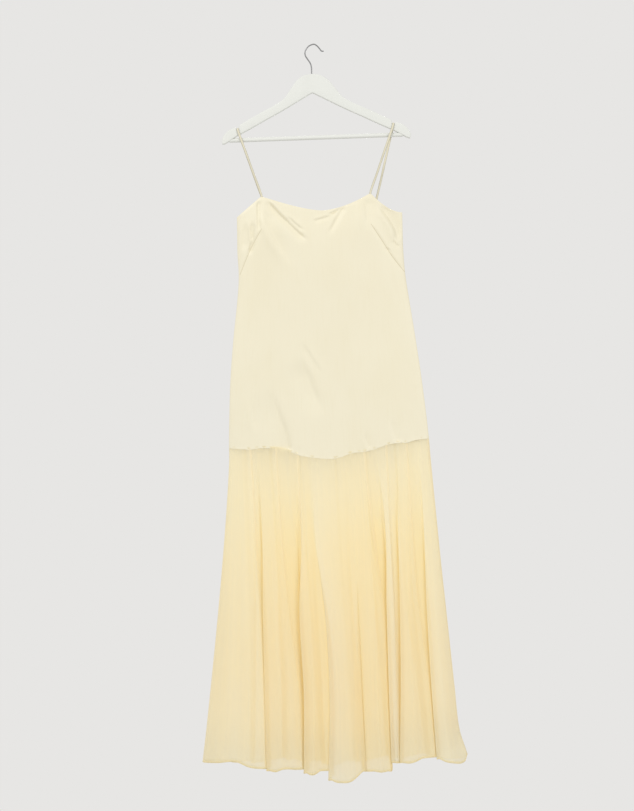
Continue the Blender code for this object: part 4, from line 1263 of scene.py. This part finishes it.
@dataclass(frozen=True)
class Skirt:
    """Fourteen chiffon gores that hang in deep folds from the drop waist to a rolled hem.

    Spans called down are shares of the way from waist to hem. The walls of a fold are given by how far
    each inner point lies from the sloping side to the crisp one, and by its share of the tuck. The two
    outermost flutes have their points at left_shares and right_shares of their width.
    """

    rows: int = 88
    row_crowding: float = 1.5
    steps: int = 6
    clearance: float = 4.0
    crest_bulge: float = 7.0
    bulge_down: tuple[float, float] = (0.1, 1.0)
    full_crest: float = 70.0
    waist_down: float = 0.03
    ease_share: float = 0.34
    opening_power: float = 2.2
    curl_down: tuple[float, float] = (0.05, 0.6)
    drop_down: float = 0.25
    drop_share: float = 0.5
    crisp_share: float = 0.3
    slope_floor: float = 0.6
    crisp_floor: float = 0.5
    walls: tuple = ((0.5, 0.3), (0.75, 0.7), (0.9, 1.0))
    left_shares: tuple[float, ...] = (0.02, 0.09, 0.28, 0.55, 0.78, 1.0)
    right_shares: tuple[float, ...] = (0.0, 0.22, 0.45, 0.75, 0.93, 0.985)
    crisp_drop: float = 2.0
    crisp_ease: float = 7.0
    fold_lift: float = 9.0
    # Warmth on lips, fold walls and towards the hem: partly stacked layers, partly painted shade in the folds
    lip_warmth: float = 0.25
    wall_warmth: float = 0.8
    top_warmth: float = 0.25
    warm_down: float = 0.35
    tuck: float = 0.3
    tuck_share: float = 0.7
    tuck_height: float = 5.0
    tuck_fade: float = 16.0
    flap: tuple = ((0.3, 0.63), (2.5, 0.7), (5.0, 0.7))
    hem_roll: float = 0.7
    hem_turn: tuple[float, ...] = (50.0, 105.0, 160.0, 215.0, 270.0)
    hem_near: float = 3.0
    ripple: float = 0.5
    ripple_down: float = 0.2
    ripple_depth: float = 8.0
    ripple_drift: float = 90.0
    ripple_waves: tuple = ((0.5, 7.3, 0.23, 0.0), (0.4, 11.9, -0.31, 1.7), (1.3, 23.0, 0.15, 0.6))
    gather: float = 0.3
    gather_down: float = 0.03
    gather_waves: tuple = ((1.0, 2.9, 0.0, 0.0), (0.8, 4.7, 0.0, 2.0))

    def opening(self, fold: Fold, t: float) -> float:
        """How far a fold has opened at a share t of the way down, as a share of its full depth."""
        return 1.0 - (1.0 - max(t - fold.start, 0.0) / (1.0 - fold.start)) ** self.opening_power

    def fold_points(self, fold: Fold, t: float, room: Callable[[float], float]) -> list[tuple[float, float]]:
        """Left lip, left wall, floor, right wall and right lip of a fold at a share t of the way down.

        Args:
            fold: The fold.
            t: 0 at the waist, 1 at the hem.
            room: Depth of the plain form at an x.

        Returns:
            The five points as (x, depth), from left to right along the cloth.
        """
        left = float(along(STATIONS, fold.shoulder, t))
        right = left + float(along(STATIONS, fold.gap, t))
        curl = float(ramp(*self.curl_down, t))
        opened = self.opening(fold, t)
        depth = fold.reach * opened * max(room((left + right) / 2) - self.clearance, 0.0)
        drop = min(fold.drop * float(ramp(0.0, self.drop_down, t)), depth * self.drop_share)
        crisp = min(self.crisp_drop * curl, depth * self.crisp_share)
        tuck = fold.tuck * curl * opened
        behind, edge, slope = (1.0, right, left) if fold.crisp is Lip.RIGHT else (-1.0, left, right)
        depths = (mix(drop, depth, self.slope_floor), depth, mix(crisp, depth, self.crisp_floor))
        points = [(slope, room(slope) - drop)]
        for (across, under), below in zip(self.walls, depths):
            x = mix(mix(slope, edge, across), edge + behind * tuck * under, curl)
            points.append((x, room(edge) - below))
        points.append((edge, room(edge) - crisp))
        return points if fold.crisp is Lip.RIGHT else points[::-1]

    def section(self, half: Half, t: float) -> Section:
        """Where the cloth of one half runs at a share t of the way down.

        Args:
            half: The front or the back.
            t: 0 at the waist, 1 at the hem.

        Returns:
            The control points with what goes with each.
        """
        left, right = OUTLINE.side_x(half, -1, t), OUTLINE.side_x(half, 1, t)
        centre, width = (left + right) / 2, (right - left) / 2
        z_mean = mix(OUTLINE.skirt_top, OUTLINE.skirt_bottom, t)
        full_bulge = self.crest_bulge * float(ramp(*self.bulge_down, t))
        top = 1.0 - float(ramp(0.0, self.waist_down, t))
        made = Section()

        def room(x: float) -> float:
            """Depth of the plain form at x."""
            low = float(OUTLINE.level(z_mean, half.name) * OUTLINE.lens((x - centre) / width))
            return max(mix(low, float(OUTLINE.waist_depth(half, x)), top), OUTLINE.closed)

        folds = [self.fold_points(fold, t, room) for fold in half.folds]
        last = len(folds)
        for index, flute in enumerate(half.flutes):
            start = left if index == 0 else folds[index - 1][-1][0]
            end = right if index == last else folds[index][0][0]
            span = end - start
            eases = [self.crisp_ease, self.crisp_ease]
            if index > 0 and half.folds[index - 1].crisp is Lip.LEFT:
                eases[0] = half.folds[index - 1].ease
            if index < last and half.folds[index].crisp is Lip.RIGHT:
                eases[1] = half.folds[index].ease
            near = start if index == 0 else start + min(eases[0], self.ease_share * span)
            far = end if index == last else end - min(eases[1], self.ease_share * span)
            shares = np.linspace(0.0, 1.0, flute.inner_points + 2)
            if index == 0:
                made.add(left, OUTLINE.closed, flute.warm_left, flute.hem[0][1])
                shares = self.left_shares
            elif index == last:
                shares = self.right_shares
            bulge = full_bulge * min(span / self.full_crest, 1.0)
            for share in shares:
                x = mix(near, far, share)
                hem_z = float(OUTLINE.line_z(flute.hem, mix(flute.hem[0][0], flute.hem[-1][0], share)))
                warmth = mix(flute.warm_left, flute.warm_right, share)
                made.add(x, room(x) + bulge * math.sin(math.pi * share) ** 2, warmth, hem_z)
            if index == last:
                made.add(right, OUTLINE.closed, flute.warm_right, flute.hem[-1][1])
            else:
                self.add_fold(made, half, index, folds[index], t)
        for soft in half.soft:
            middle, dip = float(along(STATIONS, soft.x, t)), float(along(STATIONS, soft.depth, t))
            for point in made.points[1:-1]:
                point[1] -= dip * float(bell(point[0] - middle, soft.half_width))
        return made

    def add_fold(
        self, made: Section, half: Half, index: int, points: list[tuple[float, float]], t: float
    ) -> None:
        """Adds one fold's points to a section, with their warmth and their place on the hem.

        Args:
            made: The section.
            half: The front or the back.
            index: The fold's place in its half.
            points: The fold's five points at this height.
            t: 0 at the waist, 1 at the hem.
        """
        fold, before, after = half.folds[index], half.flutes[index], half.flutes[index + 1]
        last = len(points) - 1
        seam_at = {Lip.LEFT: (0,), Lip.RIGHT: (last,), Lip.BOTH: (0, last), Lip.NONE: ()}[fold.seam]
        made.seams.extend(len(made.points) + place for place in seam_at)
        edge_warm = (before.warm_right + self.lip_warmth, self.wall_warmth, 1.0, 1.0, after.warm_left)
        if fold.crisp is Lip.LEFT:
            edge_warm = (before.warm_right, 1.0, 1.0, self.wall_warmth, after.warm_left + self.lip_warmth)
        left_z, right_z = before.hem[-1][1], after.hem[0][1]
        opened = self.opening(fold, t)
        for share, (x, depth), warmth in zip(np.linspace(0.0, 1.0, len(points)), points, edge_warm):
            lift = self.fold_lift * math.sin(math.pi * share)
            flat = mix(before.warm_right, after.warm_left, share)
            made.add(x, depth, mix(flat, warmth, opened), mix(left_z, right_z, share) + lift)

    def surface(self, half: Half) -> tuple[Array, Array, list[int]]:
        """The whole cloth of one half before it is cut into gores.

        Args:
            half: The front or the back.

        Returns:
            Points as (x, depth, z) and their warmth, both by row and column, and where the gores are cut.
        """
        shares = np.linspace(0.0, 1.0, self.rows + 1)
        shares = mix(shares, shares**self.row_crowding, 0.5)
        sections = [self.section(half, float(t)) for t in shares]
        grid = np.stack([smooth_line(section.points, self.steps) for section in sections])
        hem = sections[-1]
        knots = np.arange(len(hem.points))
        at = np.arange(grid.shape[1]) / self.steps
        x, depth = grid[..., 0], grid[..., 1]
        seam_z = OUTLINE.line_z(half.waist, x[0])
        hem_z = along(knots, hem.hem_z, at)
        z = seam_z + (hem_z - seam_z) * shares[:, None]
        warmth = np.stack([along(knots, section.warmth, at) for section in sections])
        warmed = mix(self.top_warmth, 1.0, ramp(0.0, self.warm_down, shares)[:, None])
        depth = depth + self.ripples(x, z, shares[:, None]) * ramp(0.0, self.ripple_depth, depth)
        hidden = np.minimum(depth * self.tuck_share, self.tuck)
        depth = depth - hidden * (1.0 - ramp(0.0, self.tuck_fade, seam_z[None, :] - z))
        cuts = [0, *(seam * self.steps for seam in hem.seams), x.shape[1] - 1]
        return np.stack([x, depth, z], axis=-1), np.clip(warmth, 0.0, 1.0) * warmed, cuts

    def ripples(self, x: Array, z: Array, t: Array) -> Array:
        """Slight unevenness of the hanging cloth, with small gathers just under the waist seam.

        Args:
            x: x of each point.
            z: Height of each point.
            t: How far down each row lies, 0 at the waist and 1 at the hem.

        Returns:
            The depth to add.
        """
        slow = self.ripple * waves(x, self.ripple_waves, z / self.ripple_drift)
        gathers = self.gather * waves(x, self.gather_waves)
        return slow * ramp(0.0, self.ripple_down, t) + gathers * np.exp(-t / self.gather_down)

    def build(self, half: Half) -> None:
        """Makes the gores of one half, each one declared.

        Args:
            half: The front or the back.
        """
        points, warm, cuts = self.surface(half)
        for number, (start, end) in enumerate(zip(cuts, cuts[1:]), 1):
            self.build_gore(half, number, points[:, start : end + 1], warm[:, start : end + 1])

    def build_gore(self, half: Half, number: int, points: Array, warm: Array) -> bpy.types.Object:
        """Makes one gore with its turned seam allowance on the right and its rolled hem.

        Args:
            half: The front or the back.
            number: The gore's number from the left.
            points: The gore's own columns of the half's surface.
            warm: The warmth of those points.

        Returns:
            The finished piece.
        """
        arc = np.pad(np.cumsum(lengths_between(points, 1), axis=1), ((0, 0), (1, 0)))
        added = ((1, len(self.hem_turn)), (0, len(self.flap)))
        to_seam = np.pad(arc[:, -1:] - arc, added, mode="edge")
        points, warm = self.add_flap(points, arc, warm)
        points, warm, hem = self.add_hem(points, warm)
        points[..., 1] *= half.facing
        name = f"skirt_{half.name}_{number}"
        notes = {"warm": warm, "hem": hem, "seam": to_seam}
        mesh = sheet_mesh(f"{name}_cloth", points * MM, half.facing, notes)
        piece = declare(to_piece(f"{name}_cloth", mesh, CHIFFON), Slot.CHIFFON, name)
        return piece

    @staticmethod
    def plan_normals(points: Array) -> Array:
        """Outward normals in plan, as (x, depth, 0).

        Args:
            points: Points as (x, depth, z), by row and column.

        Returns:
            The normals.
        """
        tangent = np.gradient(points[..., :2], axis=1)
        tangent /= np.maximum(np.linalg.norm(tangent, axis=2, keepdims=True), TINY)
        return np.stack([-tangent[..., 1], tangent[..., 0], np.zeros(points.shape[:2])], axis=-1)

    def add_flap(self, points: Array, arc: Array, warm: Array) -> tuple[Array, Array]:
        """Turns the seam allowance under the gore's right edge, back over the cloth's inner face.

        Args:
            points: Points as (x, depth, z), by row and column.
            arc: How far along its row each point lies.
            warm: The warmth of those points.

        Returns:
            The points and their warmth, the flap's columns among them.
        """
        normals = self.plan_normals(points)
        extra, extra_warm = [], []
        for back, inset in self.flap:
            column = np.empty((points.shape[0], 3))
            for row in range(points.shape[0]):
                at = arc[row, -1] - back
                behind = [np.interp(at, arc[row], points[row, :, k]) for k in range(3)]
                column[row] = np.array(behind) - normals[row, -2] * inset
            column[:, 1] = np.maximum(column[:, 1], OUTLINE.closed)
            extra.append(column[:, None])
            extra_warm.append(warm[:, -1:])
        return np.concatenate([points, *extra], axis=1), np.concatenate([warm, *extra_warm], axis=1)

    def add_hem(self, points: Array, warm: Array) -> tuple[Array, Array, Array]:
        """Lifts the top row behind the satin's edge and rolls the hem in.

        Args:
            points: Points as (x, depth, z), by row and column.
            warm: The warmth of those points.

        Returns:
            The points, their warmth and their distance from the hem.
        """
        top = points[:1].copy()
        top[..., 2] += self.tuck_height
        normals = self.plan_normals(points[-1:])
        rows = []
        for angle in np.radians(self.hem_turn):
            rolled = points[-1:] + normals * self.hem_roll * (math.cos(angle) - 1.0)
            rolled[..., 2] -= self.hem_roll * math.sin(angle)
            rows.append(rolled)
        full = np.concatenate([top, points, *rows])
        kept = np.concatenate([warm[:1], warm, *[warm[-1:]] * len(rows)])
        hem = np.full(kept.shape, NO_HEM)
        hem[-len(rows) - 1 :] = 0.0
        hem[-len(rows) - 2] = self.hem_near
        return full, kept, hem


# Straps


@dataclass(frozen=True)
class Straps:
    """Two narrow tubes of satin from the front edge over the hanger's notches to the back edge."""

    width: float = 5.0
    thickness: float = 2.4
    bend: float = 3.0
    corner: tuple = ((0.5, -1.6), (2.6, 0.4))
    gap: float = 0.3
    inset: float = 0.2
    tail: float = 8.0
    legs: tuple[float, ...] = (2 / 3, 1 / 3, 0.0)
    sides: int = 20
    steps: int = 5
    squareness: float = 0.8
    uneven: tuple = ((0.03, 6.0, 0.0, 0.0),)
    # Painted shade on the strap's sides, as if they turn away from the light
    edge_shade: float = 0.9

    def route(self, side: int, hanger: "Hanger") -> list[tuple[float, float, float]]:
        """The line down a strap's middle, with its ends tucked in behind the panels.

        Args:
            side: -1 for the left and 1 for the right.
            hanger: The hanger that carries it.

        Returns:
            Its points, from the front end to the back one.
        """
        front_x = FRONT_EDGE.left_strap if side < 0 else FRONT_EDGE.right_strap
        back_x = BACK_EDGE.left_strap if side < 0 else BACK_EDGE.right_strap
        seat_x, seat_z = hanger.to_part(side * hanger.notch_x, hanger.notch_floor)
        over = seat_z + self.gap + self.thickness / 2
        beside = hanger.thickness / 2 + self.thickness / 2 + self.gap
        ends = []
        for half, x in ((FRONT, front_x), (BACK, back_x)):
            z = half.edge.strap_z
            panel = float(OUTLINE.depth(half, OUTLINE.share_of(x, z), z))
            ends.append((x, half.facing * (panel - self.thickness / 2 - self.inset), z))
        front, back = ends
        low = over - self.bend

        def leg(end: tuple, share: float, y: float) -> tuple[float, float, float]:
            """A point on the way from the hanger down to one end."""
            return (mix(seat_x, end[0], share), y, mix(low, end[2], share))

        def tail(end: tuple) -> tuple[float, float, float]:
            """The end that is sewn in behind the panel's edge."""
            return (end[0], end[1], end[2] - self.tail)

        front_leg = [leg(front, share, mix(-beside, front[1], share)) for share in self.legs]
        back_leg = [leg(back, share, mix(beside, back[1], share)) for share in reversed(self.legs)]
        over_arm = [(seat_x, inset - beside, over + rise) for inset, rise in self.corner]
        down_arm = [(seat_x, beside - inset, over + rise) for inset, rise in reversed(self.corner)]
        middle = (seat_x, 0.0, over + self.corner[-1][1])
        return [tail(front), front, *front_leg, *over_arm, middle, *down_arm, *back_leg, back, tail(back)]

    def build(self, name: str, side: int, hanger: "Hanger") -> bpy.types.Object:
        """Makes one strap: a strip rolled into a tube, its long edges meeting on the inner side.

        Args:
            name: The new object's name.
            side: -1 for the left and 1 for the right.
            hanger: The hanger that carries it.

        Returns:
            The finished piece.
        """
        line = smooth_line(self.route(side, hanger), self.steps)
        forward = np.gradient(line, axis=0)
        forward /= np.linalg.norm(forward, axis=1, keepdims=True)
        across = np.array([1.0, 0.0, 0.0]) - forward * forward[:, :1]
        across /= np.linalg.norm(across, axis=1, keepdims=True)
        through = np.cross(forward, across)
        angle = np.linspace(0.5 * math.pi, 2.5 * math.pi, self.sides + 1)
        circle = (np.cos(angle), np.sin(angle))
        flat_cos, flat_sin = (np.sign(part) * np.abs(part) ** self.squareness for part in circle)
        wide = self.width / 2 * (1.0 + waves(line[:, 2], self.uneven))
        ring = across[:, None] * (flat_cos[None, :, None] * wide[:, None, None])
        ring = ring + through[:, None] * (flat_sin[None, :, None] * self.thickness / 2)
        grid = (line[:, None] + ring) * MM
        # Painted shade: darker towards the tube's sides, where the light falls off
        painted_shade = np.broadcast_to(self.edge_shade * np.abs(np.cos(angle)) ** 2, grid.shape[:2]).copy()
        mesh = sheet_mesh(f"{name}_cloth", grid, 1.0, {"painted_shade": painted_shade, "dart": np.full(painted_shade.shape, NO_DART)})
        piece = declare(to_piece(f"{name}_cloth", mesh, SHADED_STRAP_SATIN), Slot.SATIN, name)
        return piece


# Hanger


TOUCHING = 0.01  # millimetres


def close_seams(mesh: bpy.types.Mesh) -> None:
    """Joins a mesh's loose parts where they touch and points its faces outwards.

    Args:
        mesh: The mesh.
    """
    work = bmesh.new()
    work.from_mesh(mesh)
    bmesh.ops.remove_doubles(work, verts=work.verts, dist=TOUCHING * MM)
    bmesh.ops.recalc_face_normals(work, faces=work.faces)
    work.to_mesh(mesh)
    work.free()


@dataclass(frozen=True)
class Hanger:
    """A flat painted wooden hanger with a bar and a wire hook, measured from its own centre line."""

    x: float = -7.9
    tilt: float = 0.4
    uneven: float = 0.026
    thickness: float = 13.0
    rounding: float = 2.4
    notch_x: float = 182.0
    notch_floor: float = -192.0
    bar_height: float = -217.0
    bar_radius: float = 5.0
    bar_half_length: float = 203.0
    wire_radius: float = 1.5
    hook_socket: float = 14.0
    socket_gap: float = 0.3
    edge_steps: int = 4
    outline_steps: int = 6
    hook_steps: int = 8
    bar_sides: int = 32
    wire_sides: int = 24
    hump_and_arm: tuple = (
        (0.0, -68.0), (12.0, -69.6), (21.0, -72.0), (30.0, -77.3), (39.0, -85.5), (54.0, -105.0),
        (67.0, -122.0), (87.0, -136.0), (121.0, -152.5), (150.0, -167.3), (178.0, -182.3),
    )
    notch: tuple = ((179.0, -192.0), (184.8, -192.0), (187.5, -187.0))
    tip_and_underside: tuple = (
        (200.0, -191.2), (208.0, -196.5), (217.0, -207.0), (221.5, -218.0), (219.5, -226.0),
        (213.0, -224.5), (196.0, -214.5), (181.0, -206.0), (172.0, -201.8), (150.0, -191.0),
        (115.0, -173.0), (75.0, -153.0), (38.0, -133.0), (12.0, -118.8), (0.0, -112.5),
    )
    hook_route: tuple = (
        (0.0, -66.0), (0.0, -52.0), (-1.7, -44.0), (-9.1, -32.0), (-13.1, -25.5), (-14.1, -17.0),
        (-10.1, -8.0), (-3.1, -1.5), (7.9, 1.5), (14.4, -2.5), (19.9, -9.0), (23.9, -14.5),
        (29.2, -15.5),
    )

    def stretch(self, x: float) -> float:
        """Makes the right arm a little longer than the left one."""
        return x * (1.0 + math.copysign(self.uneven, x))

    def to_part(self, x: float, z: float) -> tuple[float, float]:
        """Turns a point of the hanger's drawing by its tilt and moves it to the hanger.

        Args:
            x: x in the drawing.
            z: Height in the drawing.

        Returns:
            The point in the part's frame.
        """
        turn = math.radians(self.tilt)
        x = self.stretch(x)
        return self.x + x * math.cos(turn) - z * math.sin(turn), x * math.sin(turn) + z * math.cos(turn)

    def build_body(self) -> bpy.types.Object:
        """Makes the wooden body from its outline, with rounded edges.

        Returns:
            The finished piece.
        """
        drawing = bpy.data.curves.new("hanger_drawing", "CURVE")
        drawing.dimensions = "2D"
        drawing.fill_mode = "BOTH"
        drawing.extrude = (self.thickness / 2 - self.rounding) * MM
        drawing.bevel_depth = self.rounding * MM
        drawing.bevel_resolution = self.edge_steps
        drawing.offset = -self.rounding * MM
        top = smooth_line(self.hump_and_arm, self.outline_steps)
        under = smooth_line(self.tip_and_underside, self.outline_steps)
        right = [*map(tuple, top), *self.notch, *map(tuple, under)]
        outline = right + [(-x, z) for x, z in right[-2:0:-1]]
        line = drawing.splines.new("POLY")
        line.points.add(len(outline) - 1)
        for point, (x, z) in zip(line.points, outline):
            point.co = (self.stretch(x) * MM, z * MM, 0.0, 1.0)
        line.use_cyclic_u = True
        mesh = evaluated(to_scene("hanger_drawing", drawing))
        turn = Matrix.Rotation(-math.radians(self.tilt), 4, "Y")
        mesh.transform(Matrix.Translation((self.x * MM, 0.0, 0.0)) @ turn @ UPRIGHT)
        close_seams(mesh)
        smooth(mesh, WOOD_SHARP)
        piece = to_piece("hanger_body_painted", mesh, WHITE_PAINT)
        return declare(piece, Slot.WHITE_PAINT, "hanger_body")

    def build_bar(self) -> bpy.types.Object:
        """Makes the round bar between the two ends.

        Returns:
            The finished piece.
        """
        ends = [self.to_part(side * self.bar_half_length, self.bar_height) for side in (-1, 1)]
        points = [(x, 0.0, z) for x, z in ends]
        piece = sweep("hanger_bar_painted", points, self.bar_radius, self.bar_sides, WHITE_PAINT)
        return declare(piece, Slot.WHITE_PAINT, "hanger_bar")

    def build_hook(self) -> bpy.types.Object:
        """Makes the wire hook.

        Returns:
            The finished piece.
        """
        foot = (self.hook_route[0][0], self.hump_and_arm[0][1] - self.hook_socket + self.socket_gap)
        route = [self.to_part(x, z) for x, z in (foot, *self.hook_route[1:])]
        points = [(x, 0.0, z) for x, z in smooth_line(route, self.hook_steps)]
        piece = sweep("hanger_hook_wire", points, self.wire_radius, self.wire_sides, STEEL)
        return declare(piece, Slot.HOOK_WIRE, "hanger_hook")


# Geometry node trees


class Tree(Nodes):
    """A Geometry Nodes tree with named inputs that turns one object's mesh into another."""

    def __init__(self, title: str, sizes: Sequence[str]) -> None:
        """Makes the tree with a geometry input and one number for each name in sizes.

        Args:
            title: The tree's name.
            sizes: The names of its number inputs.
        """
        group = bpy.data.node_groups.new(title, "GeometryNodeTree")
        super().__init__(group)
        group.interface.new_socket("Geometry", in_out="INPUT", socket_type="NodeSocketGeometry")
        self.identifiers = {}
        for size in sizes:
            socket = group.interface.new_socket(size, in_out="INPUT", socket_type="NodeSocketFloat")
            self.identifiers[size] = socket.identifier
        group.interface.new_socket("Geometry", in_out="OUTPUT", socket_type="NodeSocketGeometry")
        self.entry = group.nodes.new("NodeGroupInput")

    def size(self, title: str) -> Link:
        """One of the tree's inputs."""
        return Link(self, self.entry.outputs[title])

    def curve(self) -> Link:
        """The object's own lines as curves."""
        return self.add("GeometryNodeMeshToCurve", {"Mesh": self.size("Geometry")})

    def close(self, geometry: Link, finish: Finish) -> None:
        """Realizes, gives the material and ends the tree.

        Args:
            geometry: What the tree has made.
            finish: The finish it gets.
        """
        real = self.add("GeometryNodeRealizeInstances", {"Geometry": geometry})
        dressed = self.add("GeometryNodeSetMaterial", {"Geometry": real, "Material": finish.build()})
        self.add("NodeGroupOutput", {"Geometry": dressed})


def run_tree(
    name: str, tree: Tree, lines: Sequence[Sequence[Sequence[float]]], sizes: dict[str, float]
) -> bpy.types.Mesh:
    """Runs a tree on polylines in millimetres and returns the plain mesh that it makes.

    Args:
        name: The new mesh's name.
        tree: The tree to run.
        lines: Polylines of (x, y, z) points.
        sizes: A value in metres for each of the tree's inputs.

    Returns:
        The result as a mesh, with nothing live on it.
    """
    points, edges = [], []
    for line in lines:
        first = len(points)
        points.extend([tuple(float(c) * MM for c in point) for point in line])
        edges.extend((i, i + 1) for i in range(first, len(points) - 1))
    path = bpy.data.meshes.new(f"{name}_path")
    path.from_pydata(points, edges, [])
    holder = to_scene(f"{name}_path", path)
    modifier = holder.modifiers.new("tree", "NODES")
    modifier.node_group = tree.tree
    for title, value in sizes.items():
        modifier[tree.identifiers[title]] = value
    mesh = evaluated(holder)
    mesh.name = name
    return mesh


def sweep(name: str, points: Sequence[tuple], radius: float, sides: int, finish: Finish) -> bpy.types.Object:
    """A round rod along a path, made by a Geometry Nodes tree.

    Args:
        name: The new object's name.
        points: The path in millimetres.
        radius: The rod's radius.
        sides: How many sides its round section has.
        finish: The finish it gets.

    Returns:
        The rod as an object.
    """
    tree = Tree(f"{name}_tree", ("Radius",))
    profile = {"Resolution": sides, "Radius": tree.size("Radius")}
    ring = tree.add("GeometryNodeCurvePrimitiveCircle", profile)
    ends = {"Curve": tree.curve(), "Profile Curve": ring, "Fill Caps": True}
    tree.close(tree.add("GeometryNodeCurveToMesh", ends), finish)
    mesh = run_tree(name, tree, [points], {"Radius": radius * MM})
    smooth(mesh, ROD_SHARP)
    return to_piece(name, mesh, finish)


@dataclass(frozen=True)
class Stitching:
    """Rows of small straight stitches that follow the seams and hems."""

    pitch: float = 2.6
    length: float = 1.9
    radius: float = 0.12
    proud: float = 0.12
    hem_lift: float = 1.0
    first_row: int = 6
    segments: int = 5
    rings: int = 4

    def tree(self) -> Tree:
        """The tree that lays one stitch at each step along a path.

        Returns:
            The tree.
        """
        tree = Tree("stitches", ("Pitch", "Length", "Radius"))
        radius = tree.size("Radius")
        spacing = {"Curve": tree.curve(), "Length": tree.size("Pitch")}
        stepped = tree.add("GeometryNodeResampleCurve", spacing, {"mode": "LENGTH"})
        sphere = {"Segments": self.segments, "Rings": self.rings, "Radius": 1.0}
        ball = tree.add("GeometryNodeMeshUVSphere", sphere)
        reach = {"X": radius, "Y": radius, "Z": tree.size("Length") * 0.5}
        scale = tree.add("ShaderNodeCombineXYZ", reach)
        stitch = tree.add("GeometryNodeTransform", {"Geometry": ball, "Scale": scale})
        tangent = tree.add("GeometryNodeInputTangent")
        turn = tree.add("FunctionNodeAlignRotationToVector", {"Vector": tangent}, {"axis": "Z"})
        laid = {"Points": stepped, "Instance": stitch, "Rotation": turn}
        tree.close(tree.add("GeometryNodeInstanceOnPoints", laid), THREAD)
        return tree

    def build(self, half: Half, skirt: Skirt) -> bpy.types.Object:
        """Sews the hem and the gore seams of one half.

        Args:
            half: The front or the back.
            skirt: The skirt that is sewn.

        Returns:
            The finished piece.
        """
        points, _, cuts = skirt.surface(half)
        points = points + skirt.plan_normals(points) * self.proud
        hem = points[-1] + (0.0, 0.0, self.hem_lift)
        lines = [hem, *(points[self.first_row :, cut - 1] for cut in cuts[1:-1])]
        lines = [line * (1.0, half.facing, 1.0) for line in lines]
        name = f"stitches_{half.name}"
        sizes = {"Pitch": self.pitch * MM, "Length": self.length * MM, "Radius": self.radius * MM}
        mesh = run_tree(name, self.tree(), lines, sizes)
        mesh.shade_smooth()
        return declare(to_piece(name, mesh, THREAD), Slot.CHIFFON)


# Studio


@dataclass(frozen=True)
class Lamp:
    """A large square light aimed at a point."""

    name: str
    place: tuple[float, float, float]
    target: tuple[float, float, float]
    size: float
    power: float

    def add(self) -> None:
        """Puts the light into the scene."""
        data = bpy.data.lights.new(self.name, "AREA")
        data.energy = self.power
        data.size = self.size
        light = to_scene(self.name, data)
        light.location = self.place
        aim = Vector(self.target) - Vector(self.place)
        light.rotation_euler = aim.to_track_quat("-Z", "Y").to_euler()


@dataclass(frozen=True)
class Studio:
    """The camera, the soft lights and the pale floor."""

    camera_place: tuple[float, float, float] = (-0.01655, -5.0, -0.8442)
    camera_roll: float = -1.6
    lens: float = 94.77
    backdrop: Colour = (0.799, 0.791, 0.776, 1.0)
    soft_light: float = 0.85
    clear_bounces: int = 32
    lamps: tuple[Lamp, ...] = (
        Lamp("key", (-3.0, -3.6, 2.8), (0.0, 0.0, -1.0), 1.6, 121.0),
        Lamp("fill", (3.6, -3.6, 0.2), (0.0, 0.0, -1.0), 2.2, 64.0),
        Lamp("back", (0.6, 3.4, 0.8), (0.0, 0.0, -0.9), 2.2, 60.0),
    )
    floor_z: float = -2.06
    floor_radius: float = 1.15
    floor_sides: int = 96
    floor_colour: Colour = (0.78, 0.78, 0.77, 1.0)
    floor_roughness: float = 0.9

    def build(self) -> None:
        """Sets the studio up."""
        scene = bpy.context.scene
        scene.view_settings.view_transform = "Standard"
        scene.cycles.transparent_max_bounces = self.clear_bounces
        self.add_world(scene)
        self.add_camera(scene)
        for lamp in self.lamps:
            lamp.add()
        self.add_floor()

    def add_world(self, scene: bpy.types.Scene) -> None:
        """Makes the plain backdrop, which lights the object more softly than it looks.

        Args:
            scene: The scene.
        """
        world = bpy.data.worlds.new("studio")
        world.use_nodes = True
        world.node_tree.nodes.clear()
        nodes = Nodes(world.node_tree)
        seen = nodes.add("ShaderNodeBackground", {"Color": self.backdrop, "Strength": 1.0})
        soft = nodes.add("ShaderNodeBackground", {"Color": self.backdrop, "Strength": self.soft_light})
        looking = nodes.add("ShaderNodeLightPath", output="Is Camera Ray")
        both = nodes.add("ShaderNodeMixShader", {0: looking, 1: soft, 2: seen})
        nodes.add("ShaderNodeOutputWorld", {"Surface": both})
        scene.world = world

    def add_camera(self, scene: bpy.types.Scene) -> None:
        """Puts the camera level with the middle of the dress, rolled as the picture hangs.

        Args:
            scene: The scene.
        """
        data = bpy.data.cameras.new("camera")
        data.lens = self.lens
        camera = to_scene("camera", data)
        roll = Matrix.Rotation(math.radians(self.camera_roll), 4, "Z")
        camera.matrix_world = Matrix.Translation(self.camera_place) @ UPRIGHT @ roll
        scene.camera = camera

    def add_floor(self) -> None:
        """Adds a pale disc of floor well below the hem."""
        mesh = bpy.data.meshes.new("floor")
        disc = bmesh.new()
        bmesh.ops.create_circle(disc, cap_ends=True, segments=self.floor_sides, radius=self.floor_radius)
        disc.to_mesh(mesh)
        disc.free()
        mesh.transform(Matrix.Translation((0.0, 0.0, self.floor_z)))
        material = bpy.data.materials.new("floor")
        material.use_nodes = True
        inputs = material.node_tree.nodes["Principled BSDF"].inputs
        inputs["Base Color"].default_value = self.floor_colour
        inputs["Roughness"].default_value = self.floor_roughness
        mesh.materials.append(material)
        floor = to_scene("floor", mesh)


def main() -> None:
    """Builds the dress, its hanger and the studio."""
    logging.basicConfig(level=logging.INFO, format="%(message)s")
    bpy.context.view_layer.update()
    Studio().build()
    hanger, straps, bodice, skirt = Hanger(), Straps(), Bodice(), Skirt()
    hanger.build_body()
    hanger.build_bar()
    hanger.build_hook()
    straps.build("strap_left", -1, hanger)
    straps.build("strap_right", 1, hanger)
    for half in (FRONT, BACK):
        bodice.build(half)
        skirt.build(half)
        Stitching().build(half, skirt)


if __name__ == "__main__":
    main()
